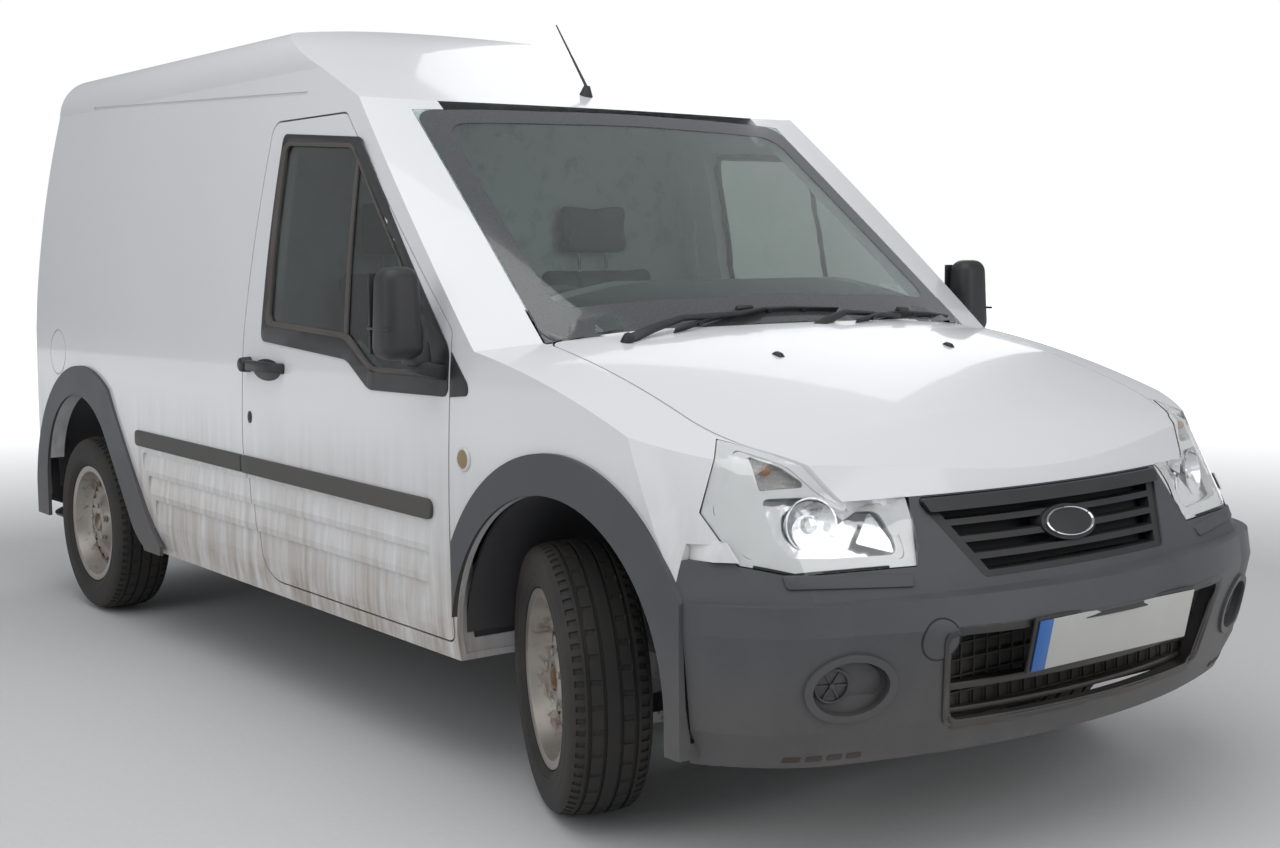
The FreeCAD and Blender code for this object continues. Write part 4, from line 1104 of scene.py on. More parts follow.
def moulding_shape(x0, x1, nodes, round_rear, round_front):
    """One length of rub moulding on the right side, its ends rounded."""
    points = ((x0, moulding_edge(x0, False)), (x1, moulding_edge(x1, False)),
              (x1, moulding_edge(x1, True)), (x0, moulding_edge(x0, True)))
    shape = sheet_of(side_points(points))
    for x, radius in ((x0, round_rear), (x1, round_front)):
        corners_rounded(shape, [vert for vert in shape.verts if abs(vert.co.x - x) < 1e-4], radius, 6)
    gridded(shape, (0,), 0.06)
    draped(shape, surface_of(*nodes), (0.0, 1.0, 0.0), lift=-0.001, probe=0.0)
    rise = bpy.context.scene.van_sizes.moulding_rise
    return thickened(shape, Vector((0.0, -rise, 0.0)), 0.0045, 3)


class VAN_OT_mouldings(Operator):
    """Rub mouldings along both sides, split where the doors part"""

    bl_idname = "van.mouldings"
    bl_label = "Rub mouldings"

    def execute(self, context):
        door = moulding_shape(DOOR_SPLIT[1], MOULDING_FRONT, ("front_door_right",), 0.004, 0.022)
        body = moulding_shape(MOULDING_REAR, DOOR_SPLIT[0], ("side_panel_right",), 0.014, 0.004)
        slide = moulding_shape(MOULDING_REAR, SLIDE_SPLIT[0], ("side_panel_right",), 0.014, 0.004)
        post = moulding_shape(SLIDE_SPLIT[1], DOOR_SPLIT[0], ("side_panel_right",), 0.004, 0.004)
        finish = moulding_plastic()
        finished("moulding_door_left", mirrored_copy(door), "front_door_left", "trim_plastic", finish)
        finished("moulding_door_right", door, "front_door_right", "trim_plastic", finish)
        finished("moulding_body_right", body, "chassis", "trim_plastic", finish)
        finished("moulding_body_left", joined(mirrored_copy(slide), mirrored_copy(post)), "chassis",
                 "trim_plastic", finish)
        slide.free()
        post.free()
        return {"FINISHED"}


# Side view (x, z) in metres: black band round the side glass, then the glass it frames
BAND_OUTER = ((-0.0400, 1.0290), (0.4800, 1.0000), (0.6050, 0.9290), (0.9945, 0.9360), (0.9945, 1.0520),
              (0.7100, 1.3180), (0.4380, 1.5790), (-0.0400, 1.6140))
BAND_INNER = ((-0.0080, 1.0740), (0.4740, 1.0550), (0.6230, 0.9740), (0.8650, 0.9790), (0.8650, 1.1220),
              (0.3890, 1.5660), (-0.0230, 1.5920))
CORNER_PATCH = ((1.0045, 0.9365), (1.0840, 0.9440), (1.0840, 0.9700), (1.0045, 1.0440))
BAND_RISE = 0.0042
SCREEN_NORMAL = Vector((0.595, 0.0, 0.804)).normalized()
DIVIDER = ((0.4560, 1.0620), (0.4760, 1.0620), (0.4340, 1.5280), (0.4150, 1.5440))


class VAN_OT_windows(Operator):
    """Black bands, seals and dividers round the side glass, and the screen's printed border"""

    bl_idname = "van.windows"
    bl_label = "Window surrounds"

    def execute(self, context):
        self.side_bands()
        self.screen_border()
        return {"FINISHED"}

    def side_bands(self):
        """Band, stepped seal, divider and corner patch of both side windows."""
        door = surface_of("front_door_right", "door_glass_right")
        outward = Vector((0.0, -1.0, 0.0))
        band = framed_sheet(side_points(BAND_OUTER), side_points(BAND_INNER), 0.022, 0.026)
        gridded(band, (0, 2), 0.045)
        draped(band, surface_of("front_door_right"), -outward, lift=-0.0012, probe=0.0)
        thickened(band, outward * BAND_RISE, 0.0014, 2)
        step = framed_sheet(side_points(BAND_INNER), side_points(self.shrunk()), 0.026, 0.024)
        gridded(step, (0, 2), 0.045)
        draped(step, door, -outward, lift=-0.001, probe=0.010)
        thickened(step, outward * 0.0085, 0.0022, 2)
        divider = sheet_of(side_points(DIVIDER))
        gridded(divider, (2,), 0.05)
        draped(divider, door, -outward, lift=-0.001, probe=0.0)
        thickened(divider, outward * 0.0060, 0.0018, 2)
        patch = sheet_of(side_points(CORNER_PATCH))
        corners_rounded(patch, [vert for vert in patch.verts if vert.co.x > 1.05], 0.012, 6)
        gridded(patch, (0, 2), 0.02)
        draped(patch, surface_of("front_wings", "side_panel_right"), -outward, lift=-0.0012)
        thickened(patch, outward * BAND_RISE, 0.0014, 2)
        joined(step, divider)
        for side, copy in HANDS:
            body = "front_door_" + side
            finished("glass_seal_" + side, copy(step), body, "trim_plastic", band_rubber())
            finished("window_band_" + side, copy(band), body, "trim_plastic", black_trim())
            finished("corner_patch_" + side, copy(patch), "chassis", "trim_plastic", black_trim())

    def shrunk(self):
        """The band's inner edge drawn in by 13 mm towards the middle of the window."""
        middle = Vector((0.40, 0.0, 1.25))
        inset = 0.013
        inside = []
        for x, z in BAND_INNER:
            away = Vector((x, 0.0, z)) - middle
            inside.append((middle.x + away.x * (1.0 - inset / abs(away.x)) if abs(away.x) > 0.1 else x,
                           middle.z + away.z * (1.0 - inset / abs(away.z)) if abs(away.z) > 0.1 else z))
        return inside

    def screen_border(self):
        """Dark ceramic band round the screen, wider at its foot."""
        normal = SCREEN_NORMAL
        outer = (mm(1255, -240, 1072), mm(1158, -712, 1058), mm(446, -646, 1651), mm(490, -240, 1668),
                 mm(490, 240, 1668), mm(446, 646, 1651), mm(1158, 712, 1058), mm(1255, 240, 1072))
        inner = (mm(1150, -240, 1140), mm(1075, -640, 1105), mm(500, -584, 1612), mm(540, -240, 1632),
                 mm(540, 240, 1632), mm(500, 584, 1612), mm(1075, 640, 1105), mm(1150, 240, 1140))
        plane = normal * normal.dot(outer[0])
        flat = []
        for loop in (outer, inner):
            flat.append([point - normal * (point - plane).dot(normal) for point in loop])
        border = framed_sheet(flat[0], flat[1], 0.05, 0.06)
        gridded(border, (0, 1), 0.05)
        draped(border, surface_of("windscreen"), -normal, lift=-0.0008, probe=0.0)
        thickened(border, normal * 0.0013, 0.0, 1)
        finished("screen_border", border, "chassis", "glass", screen_frit())


@kept
def band_rubber(name):
    """Grey-brown weathered rubber along the glass."""
    return moulded(name, (0.075, 0.066, 0.062), 0.6, 900.0, 0.3)


class VAN_OT_mirrors(Operator):
    """Door mirrors: a tall head on a folding lower arm"""

    bl_idname = "van.mirrors"
    bl_label = "Door mirrors"

    def execute(self, context):
        shell = tapered_block((0.100, 0.112), (0.086, 0.098), 0.218,
                              Matrix.Translation(mm(942, -985, 1026)), 0.034, 6)
        for vert in shell.verts:
            if vert.co.x > 0.942:
                vert.co.x -= 0.30 * (vert.co.z - 1.026) * (vert.co.x - 0.942)
        rear = block((0.006, 0.098, 0.192), Matrix.Translation(mm(894, -985, 1134)), 0.002)
        knuckle = tapered_block((0.070, 0.052), (0.054, 0.046), 0.058,
                                Matrix.Translation(mm(946, -938, 1012)), 0.010, 3)
        arm = flat_bar([mm(948, -874, 992), mm(948, -900, 996), mm(948, -925, 1004), mm(948, -952, 1012)],
                       (0.090, 0.084, 0.070, 0.058), 0.036, (0.0, 0.0, 1.0), 0.008)
        seam = block((0.104, 0.004, 0.006), Matrix.Translation(mm(942, -1036, 1100)), 0.001)
        housing = joined(joined(joined(shell, knuckle), arm), seam)
        rim = framed_sheet(end_points(((-0.044, -0.092), (0.044, -0.092), (0.040, 0.088), (-0.040, 0.088))),
                           end_points(((-0.037, -0.084), (0.037, -0.084), (0.034, 0.081), (-0.034, 0.081))),
                           0.018, 0.014)
        moved(thickened(rim, Vector((-0.004, 0.0, 0.0)), 0.001, 2), Matrix.Translation(mm(892.5, -985, 1134)))
        joined(housing, joined(rear, rim))
        glass = sheet_of(end_points(((-0.038, -0.085), (0.038, -0.085), (0.035, 0.082), (-0.035, 0.082))),
                         0.014)
        moved(thickened(glass, Vector((-0.0015, 0.0, 0.0))), Matrix.Translation(mm(890.8, -985, 1134)))
        for side, copy in HANDS:
            body = "front_door_" + side
            finished("mirror_head_" + side, copy(housing), body, "black_plastic", black_trim(), sharp=50.0,
                     replaces=("mirror_" + side,))
            finished("mirror_glass_" + side, copy(glass), body, "glass", mirror_metal())
        return {"FINISHED"}


class VAN_OT_handles(Operator):
    """Door handles, locks, sliding rail, side repeaters and the rear doors' hinges and handle"""

    bl_idname = "van.handles"
    bl_label = "Handles and side lamps"

    def execute(self, context):
        self.front_handles()
        self.sliding_handle()
        self.repeaters()
        self.rear_fittings()
        return {"FINISHED"}

    def side_pad(self, middle, half_width, half_height, rise, edge, node_names):
        """Low oval plate laid on the side of the named nodes."""
        upright = Matrix.Translation((middle[0], 0.0, middle[1])) @ Matrix.Rotation(math.radians(90), 4, "X")
        pad = moved(oval_sheet(half_width, half_height, 32), upright)
        draped(pad, surface_of(*node_names), (0.0, 1.0, 0.0), lift=-0.001, probe=0.0)
        return thickened(pad, Vector((0.0, -rise, 0.0)), edge, 3)

    def handle(self, x0, x1, z, y, nodes):
        """Bar that bridges a shallow cup, with its lock barrel behind. The cup is a raised black pad, painted
        shade of the recess.
        """
        # Raised black pad in place of the recessed cup: its black is painted shade of the recess
        cup = self.side_pad((0.5 * (x0 + x1) + 0.012, z + 0.002), 0.5 * (x1 - x0) - 0.038, 0.031, 0.0022,
                            0.001, nodes)
        bow = ((x0 + 0.052, y, z + 0.010), (x0 + 0.060, y - 0.022, z + 0.012),
               (x0 + 0.085, y - 0.031, z + 0.014), (x1 - 0.060, y - 0.031, z + 0.014),
               (x1 - 0.020, y - 0.020, z + 0.012), (x1 - 0.004, y + 0.002, z + 0.010))
        bar = flat_bar([Vector(point) for point in bow], (0.014, 0.015, 0.013, 0.013, 0.014, 0.014),
                       0.030, (0.0, 0.0, 1.0), 0.0055)
        barrel = turned(((0.0001, 0.030), (0.0150, 0.0298), (0.0195, 0.0270), (0.0215, 0.0200),
                         (0.0225, -0.004)), steps=32)
        moved(barrel, fit_axes(Vector((x0 + 0.024, y, z + 0.012)), (0.0, -1.0, 0.0)))
        return joined(joined(cup, bar), barrel)

    def front_handles(self):
        """Handle and separate key lock of both front doors."""
        nodes = ("front_door_right",)
        handle = self.handle(-0.140, 0.116, 0.946, -0.8835, nodes)
        lock = self.side_pad((-0.110, 0.806), 0.0125, 0.0175, 0.004, 0.0016, nodes)
        face = turned(((0.0001, 0.0065), (0.0060, 0.0062), (0.0075, 0.0045), (0.0078, 0.0)), steps=24)
        joined(lock, moved(face, fit_axes(Vector((-0.110, -0.8860, 0.806)), (0.0, -1.0, 0.0))))
        joined(handle, lock)
        finished("door_handle_left", mirrored_copy(handle), "front_door_left", "black_plastic", black_trim())
        finished("door_handle_right", handle, "front_door_right", "black_plastic", black_trim())

    def sliding_handle(self):
        """Handle of the sliding door, and the rail that the door runs on."""
        handle = self.handle(-0.460, -0.260, 0.946, -0.8835, ("side_panel_right",))
        finished("sliding_door_handle", mirrored_copy(handle), "chassis", "black_plastic", black_trim())
        handle.free()
        rail = block((0.94, 0.014, 0.030), Matrix.Translation((-1.53, 0.862, 1.180)), 0.004)
        tree = surface_of("side_panel_left")
        for vert in rail.verts:
            found = tree.ray_cast(Vector((vert.co.x, 2.0, vert.co.z)), Vector((0.0, -1.0, 0.0)))
            if found[0] is not None:
                vert.co.y = found[0].y + (0.004 if vert.co.y > 0.862 else -0.002)
        finished("sliding_door_rail", rail, "chassis", "black_plastic", black_trim())

    def repeaters(self):
        """Round side repeaters on the front wings."""
        wing = surface_of("front_wings")
        found = wing.ray_cast(mm(1071, -2000, 796), Vector((0.0, 1.0, 0.0)))
        place = fit_axes(found[0], found[1])
        ring = turned(((0.0215, -0.002), (0.0295, -0.001), (0.0300, 0.0025), (0.0275, 0.0048),
                       (0.0225, 0.0050), (0.0215, 0.0030)), steps=40, closed=True)
        lens = turned(((0.0215, 0.0), (0.0218, 0.0045), (0.0185, 0.0085), (0.0100, 0.0115),
                       (0.0001, 0.0122)), steps=40)
        moved(ring, place)
        moved(lens, place)
        finished("repeater_ring_left", mirrored_copy(ring), "chassis", "black_plastic", lamp_frame())
        finished("repeater_lens_left", mirrored_copy(lens), "chassis", "lamp_clear", repeater_lens())
        finished("repeater_ring_right", ring, "chassis", "black_plastic", lamp_frame())
        finished("repeater_lens_right", lens, "chassis", "lamp_clear", repeater_lens())

    def rear_fittings(self):
        """Strap hinges at the rear doors' outer edges, and the handle with its lock."""
        doors = surface_of("rear_door_right", "rear_door_left")
        rearward = Vector((-1.0, 0.0, 0.0))
        for side, sign in SIDES:
            hinges = bmesh.new()
            for z in (0.640, 1.060, 1.520):
                lean = 0.062 * max(0.0, (z - 1.05) / 0.74)
                y = sign * (0.650 - lean)
                strap = sheet_of(end_points(oblong(y, z, 0.036, 0.030)), 0.010)
                gridded(strap, (1, 2), 0.02)
                draped(strap, doors, -rearward, lift=-0.001, probe=0.0)
                joined(hinges, thickened(strap, rearward * 0.0075, 0.003, 2))
            finished("rear_hinges_" + side, hinges, "rear_door_" + side, "white_paint", body_paint())
        cup = sheet_of(end_points(((-0.030, 0.900), (0.150, 0.900), (0.150, 1.000), (-0.030, 1.000))), 0.024)
        gridded(cup, (1, 2), 0.03)
        draped(cup, doors, -rearward, lift=-0.001, probe=0.0)
        thickened(cup, rearward * 0.006, 0.003, 3)
        back = doors.ray_cast(Vector((-4.0, 0.06, 0.95)), Vector((1.0, 0.0, 0.0)))[0].x
        bow = ((0.0, -0.006), (0.020, 0.006), (0.024, 0.060), (0.020, 0.114), (0.0, 0.126))
        bar = flat_bar([Vector((back - out, y, 0.968)) for out, y in bow], (0.016,) * len(bow), 0.026,
                       (0.0, 0.0, 1.0), 0.005)
        barrel = turned(((0.0001, 0.016), (0.0090, 0.0155), (0.0120, 0.0120), (0.0130, 0.0)), steps=24)
        moved(barrel, fit_axes(Vector((back, 0.060, 0.922)), rearward))
        finished("rear_handle", joined(joined(cup, bar), barrel), "rear_door_left", "black_plastic",
                 black_trim())


# Direction that the lens faces, and the one that the dishes behind it look in
LAMP_AIM = Vector((1.0, -0.62, 0.30)).normalized()
BEAM = (0.93, -0.30, 0.16)
AHEAD_OF_LENS = 0.35
RIPPLE_DEPTH = 0.004
FLUTE_DEPTH = 0.0022
FLUTE_PITCH = 0.011
# Outlines of the right lamp in millimetres, laid on its surface: lens, opening of the bezel, cells
LAMP_OUTLINE = ((1799, -726, 893), (1850, -689, 876), (1905, -650, 858), (1942, -622, 843), (1982, -590, 789),
                (1996, -577, 773), (2013, -488, 778), (2043, -426, 781), (2087, -434, 684), (2110, -454, 646),
                (2060, -738, 652), (1991, -823, 674), (1902, -847, 770))
LAMP_FOOT = LAMP_OUTLINE[9:12]
LAMP_EDGE = ((1838, -716, 874), (1925, -650, 842), (1978, -608, 788), (2002, -572, 764), (2030, -476, 766),
             (2072, -466, 690), (2094, -476, 660), (2052, -700, 664), (1992, -806, 684), (1915, -830, 772))
INDICATOR_CELL = ((1872, -708, 862), (1920, -664, 842), (1956, -634, 814), (1960, -636, 803),
                  (1934, -728, 802))
REFLECTOR_CELL = ((1944, -732, 788), (1974, -624, 784), (2004, -572, 754), (2030, -494, 752),
                  (2066, -482, 696), (2084, -490, 668), (2044, -650, 672), (2012, -720, 676),
                  (1985, -732, 712))
REFLECTOR_MIDDLE = (1999, -645, 733)
LAMP_CORNER = ((2020, -512, 748), (2064, -490, 694), (2080, -494, 671), (2040, -566, 692))


def lamp_plane(points):
    """Points moved along the lamp's facing direction into one plane ahead of the lens."""
    base = mm(*LAMP_OUTLINE[0]) + LAMP_AIM * AHEAD_OF_LENS
    return [mm(*point) - LAMP_AIM * (mm(*point) - base).dot(LAMP_AIM) for point in points]


class VAN_OT_headlamps(Operator):
    """Headlamps: clear lens, pale bezel, indicator with its amber bulb above, round reflector below"""

    bl_idname = "van.headlamps"
    bl_label = "Headlamps"

    def execute(self, context):
        glass = surface_of("headlamps", "bonnet")
        parts = (
            ("lamp_lens", self.lens(glass), "lamp_clear", lamp_lens()),
            ("lamp_bezel", self.bezel(glass), "white_paint", lamp_frame()),
            ("lamp_reflectors", self.reflectors(glass), "lamp_clear", mirror_metal()),
            ("lamp_indicator", self.indicator(glass), "lamp_clear", clear_ribs()),
            ("lamp_bulbs", self.bulbs(glass), "lamp_clear", amber_lens()),
            ("lamp_seal", self.seal(glass), "black_plastic", seal_rubber()),
        )
        for name, shape, slot, material in parts:
            replaces = ("headlamps",) if name == "lamp_lens" else ()
            finished(name, both_hands(shape), "chassis", slot, material, replaces=replaces, sharp=30.0)
        return {"FINISHED"}

    def surface_point(self, glass, point):
        """Where the lens lies at a point, given in millimetres."""
        return glass.ray_cast(mm(*point) + LAMP_AIM * 0.5, -LAMP_AIM)[0]

    def laid(self, shape, glass, depth, step=0.018):
        """Bend a flat sheet to the lens, at a depth behind it."""
        gridded(shape, (1, 2), step)
        return draped(shape, glass, -LAMP_AIM, lift=-depth, probe=0.004, facing=0.45)

    def lens(self, glass):
        """Clear cover, 3 mm thick."""
        shape = sheet_of(lamp_plane(LAMP_OUTLINE), 0.004)
        self.laid(shape, glass, 0.0003)
        return thickened(shape, -LAMP_AIM * 0.0030)

    def bezel(self, glass):
        """Pale frame along the lens's edge, and the plate with the two cells cut out of it."""
        outer = lamp_plane(LAMP_OUTLINE)
        top = framed_sheet(outer, lamp_plane(LAMP_EDGE), 0.004, 0.012)
        self.laid(top, glass, 0.0075)
        thickened(top, -LAMP_AIM * 0.014)
        inner = sheet_of(lamp_plane(LAMP_EDGE), 0.020)
        for cell, radius in ((INDICATOR_CELL, 0.010), (REFLECTOR_CELL, 0.016)):
            joined(inner, sheet_of(lamp_plane(cell), radius))
        self.laid(hollow(inner), glass, 0.0095)
        thickened(inner, -LAMP_AIM * 0.018)
        return joined(top, inner)

    def bowl(self, glass, middle, radius, depth, facets):
        """Faceted dish looking ahead."""
        profile = []
        for index in range(9):
            share = index / 8.0
            profile.append((max(0.0001, radius * share), -depth * (1.0 - share * share)))
        profile += [(radius + 0.003, 0.0), (radius + 0.003, -0.004)]
        shape = turned(profile, steps=facets)
        return moved(shape, fit_axes(self.surface_point(glass, middle) - LAMP_AIM * 0.016, BEAM))

    def reflectors(self, glass):
        """Rippled back wall, the round dish with its bulb shield, and the small corner mirror."""
        back = sheet_of(lamp_plane(LAMP_EDGE), 0.020)
        self.laid(back, glass, 0.034, 0.014)
        for vert in back.verts:
            vert.co -= LAMP_AIM * RIPPLE_DEPTH * math.sin(vert.co.z * 210.0) * math.cos(vert.co.y * 160.0)
        thickened(back, -LAMP_AIM * 0.002)
        shape = joined(back, self.bowl(glass, REFLECTOR_MIDDLE, 0.054, 0.030, 24))
        corner = sheet_of(lamp_plane(LAMP_CORNER), 0.006)
        self.laid(corner, glass, 0.012, 0.012)
        thickened(corner, -LAMP_AIM * 0.006, 0.001, 2)
        joined(shape, corner)
        shield = turned(((0.0001, 0.0), (0.0140, -0.002), (0.0180, -0.010), (0.0185, -0.024)), steps=28)
        centre = self.surface_point(glass, REFLECTOR_MIDDLE)
        return joined(shape, moved(shield, fit_axes(centre - LAMP_AIM * 0.022, BEAM)))

    def indicator(self, glass):
        """Back of the indicator, pressed into flutes that run across the lamp."""
        shape = sheet_of(lamp_plane(INDICATOR_CELL), 0.008)
        self.laid(shape, glass, 0.024, 0.0035)
        for vert in shape.verts:
            vert.co -= LAMP_AIM * FLUTE_DEPTH * math.sin(vert.co.z * math.tau / FLUTE_PITCH)
        return thickened(shape, -LAMP_AIM * 0.0015)

    def bulbs(self, glass):
        """Amber indicator bulb."""
        shape = bmesh.new()
        bmesh.ops.create_uvsphere(shape, u_segments=24, v_segments=16, radius=0.0105)
        bmesh.ops.scale(shape, vec=(1.0, 1.0, 1.35), verts=shape.verts)
        centre = self.surface_point(glass, (1914, -694, 838))
        return moved(shape, fit_axes(centre - LAMP_AIM * 0.019, (0.7, -0.7, 0.0)))

    def seal(self, glass):
        """Grey gasket along the lamp's lower edge."""
        path = []
        for first, second in zip(LAMP_FOOT, LAMP_FOOT[1:]):
            for share in (0.0, 0.25, 0.5, 0.75):
                path.append(tuple(a + (b - a) * share for a, b in zip(first, second)))
        points = []
        for x, y, z in path:
            found = self.surface_point(glass, (x, y, z + 6))
            if found is not None:
                points.append(found - Vector((0.0, 0.0, 0.004)) - LAMP_AIM * 0.001)
        return rod(points, [0.0035] * len(points), 8)


class VAN_OT_tail_lamps(Operator):
    """Tail lamps with clear, amber and red cells, and the high stop lamp"""

    bl_idname = "van.tail_lamps"
    bl_label = "Tail lamps"

    def execute(self, context):
        lamp = surface_of("tail_lamps")
        back = Vector((-1.0, 0.0, 0.0))
        outline = ((-0.7150, 0.7740), (-0.7150, 1.1460), (-0.7960, 1.1380), (-0.8240, 0.9600),
                   (-0.8180, 0.7840))
        bands = ((0.7800, 0.8650, clear_ribs(), "reversing"), (0.8700, 0.9700, amber_lens(), "indicator"),
                 (0.9750, 1.1420, red_lens(), "stop"))
        for low, high, material, name in bands:
            shape = sheet_of(end_points(outline), 0.010)
            for level, side in ((low, 1.0), (high, -1.0)):
                everything = shape.verts[:] + shape.edges[:] + shape.faces[:]
                bmesh.ops.bisect_plane(shape, geom=everything, dist=1e-5, plane_co=(0.0, 0.0, level),
                                       plane_no=(0.0, 0.0, -side), clear_outer=True)
            gridded(shape, (1, 2), 0.012)
            draped(shape, lamp, (1.0, 0.0, 0.0), lift=-0.0012, probe=0.0)
            thickened(shape, back * 0.0026, 0.0012, 2)
            finished("tail_lens_" + name, both_hands(shape), "chassis", "lamp_red", material)
        stop = sheet_of(end_points(((-0.110, 1.826), (0.110, 1.826), (0.110, 1.850), (-0.110, 1.850))), 0.008)
        gridded(stop, (1,), 0.03)
        draped(stop, surface_of("roof"), (1.0, 0.0, 0.0), lift=-0.001, probe=0.0)
        thickened(stop, back * 0.004, 0.0015, 2)
        finished("high_stop_lamp", stop, "chassis", "lamp_red", red_lens())
        return {"FINISHED"}


BOSS_SIZE = (0.078, 0.034, 1.0)
MESH_X = 2.118
FOG_MIDDLE = Vector((2.104, -0.640, 0.421))
FOG_AIM = Vector((0.90, -0.38, -0.20))


class VAN_OT_front_fittings(Operator):
    """Fog-lamp blanks, towing-eye cover, lamp shelves, wing feet, intake and the grille's bare boss"""

    bl_idname = "van.front_fittings"
    bl_label = "Front fittings"

    def execute(self, context):
        self.fog_blanks()
        self.tow_cover()
        self.shelves()
        self.wing_feet()
        self.intake()
        self.grille_back()
        return {"FINISHED"}

    def fog_blanks(self):
        """Oval ring, sunk plate and six-spoked plug in place of each fog lamp."""
        bumper = surface_of("front_bumper")
        place = fit_axes(FOG_MIDDLE, FOG_AIM)
        direction = FOG_AIM.normalized()
        ring = bmesh.new()
        for width, height in ((0.099, 0.073), (0.082, 0.058)):
            joined(ring, moved(oval_sheet(width, height, 56), place @ Matrix.Translation((0.0, 0.0, 0.2))))
        gridded(hollow(ring), (1, 2), 0.012)
        draped(ring, bumper, -direction, lift=-0.0015, probe=0.006)
        thickened(ring, direction * 0.0085, 0.0035, 3)
        inner = moved(oval_sheet(0.071, 0.049, 48), place)
        thickened(inner, direction * 0.003, 0.001, 2)
        moved(inner, Matrix.Translation(-direction * 0.0235))
        blank = bmesh.new()
        hub = turned(((0.0001, 0.010), (0.0055, 0.0096), (0.0070, 0.0070), (0.0072, 0.0)), steps=20)
        joined(blank, hub)
        for index in range(6):
            turn = Matrix.Rotation(math.tau * index / 6, 4, "Z")
            joined(blank, block((0.030, 0.0042, 0.0060), turn @ Matrix.Translation((0.020, 0.0, 0.003)),
                                0.0012))
        hoop = turned(((0.0330, 0.0), (0.0330, 0.0090), (0.0355, 0.0105), (0.0380, 0.0090),
                       (0.0380, 0.0)), steps=40)
        joined(blank, hoop)
        moved(blank, place @ Matrix.Translation((-0.034, 0.0, -0.0225)))
        shape = joined(joined(ring, inner), blank)
        finished("fog_blanks", both_hands(shape), "chassis", "black_plastic", bumper_plastic())

    def tow_cover(self):
        """Round cover of the towing eye, and a thin black ring round it as painted shade of the fine groove.
        """
        bumper = surface_of("front_bumper")
        aim = Vector((0.93, -0.30, 0.05)).normalized()
        place = fit_axes(mm(2184, -471, 508) + aim * 0.15, aim)
        disc = moved(oval_sheet(0.0400, 0.0410, 48), place)
        gridded(disc, (1, 2), 0.012)
        draped(disc, bumper, -aim, lift=-0.001, probe=0.0)
        thickened(disc, aim * 0.0030, 0.0016, 2)
        # Thin black ring just outside the cover: painted shade of the groove round it
        gap_shade = bmesh.new()
        for radius in (0.0440, 0.0408):
            joined(gap_shade, moved(oval_sheet(radius, radius + 0.001, 48), place))
        gridded(hollow(gap_shade), (1, 2), 0.012)
        draped(gap_shade, bumper, -aim, lift=-0.0005, probe=0.0)
        thickened(gap_shade, aim * 0.0009)
        finished("tow_eye_cover", disc, "chassis", "trim_plastic", bumper_plastic())
        finished("tow_eye_gap", gap_shade, "chassis", "black_plastic", seal_rubber())

    def shelves(self):
        """Raised strip under each headlamp, and four small black pads low at each side of the bumper, painted
        shade standing for slots.
        """
        bumper = surface_of("front_bumper")
        aim = Vector((0.90, -0.40, 0.15)).normalized()
        corners = ((2022, -745, 646), (2106, -470, 628), (2110, -474, 604), (2030, -742, 618))
        base = mm(*corners[0]) + aim * 0.2
        flat = [mm(*point) - aim * (mm(*point) - base).dot(aim) for point in corners]
        strip = sheet_of(flat, 0.007)
        gridded(strip, (1,), 0.02)
        draped(strip, bumper, -aim, lift=-0.0015, probe=0.004)
        thickened(strip, aim * 0.0065, 0.0028, 3)
        # Black pads stand for the low slots: their black is painted shade of the openings
        slot_shades = bmesh.new()
        for index in range(4):
            pad = sheet_of(end_points(oblong(-0.722 + index * 0.040, 0.272, 0.015, 0.006), 2.3), 0.003)
            draped(pad, bumper, (-1.0, 0.0, 0.0), lift=-0.001, probe=0.0)
            joined(slot_shades, thickened(pad, Vector((0.0022, 0.0, 0.0))))
        finished("lamp_shelves", both_hands(strip), "chassis", "trim_plastic", bumper_plastic())
        finished("low_slots", both_hands(slot_shades), "chassis", "black_plastic", seal_rubber())

    def wing_feet(self):
        """Foot of each front wing, down to the bumper."""
        wing = surface_of("front_wings")
        corners = ((1.8620, 0.6685), (1.9580, 0.6685), (1.9300, 0.7060), (1.8620, 0.7060))
        foot = sheet_of(side_points(corners, -1.3))
        gridded(foot, (0, 2), 0.010)
        draped(foot, wing, (0.0, 1.0, 0.0), lift=-0.0045, probe=0.0, facing=0.3)
        for vert in foot.verts:
            vert.co.y += 0.85 * max(0.0, vert.co.x - 1.922) - 0.35 * max(0.0, 0.700 - vert.co.z)
        thickened(foot, Vector((0.0, -0.0048, 0.0)))
        finished("wing_feet", both_hands(foot), "chassis", "white_paint", body_paint())

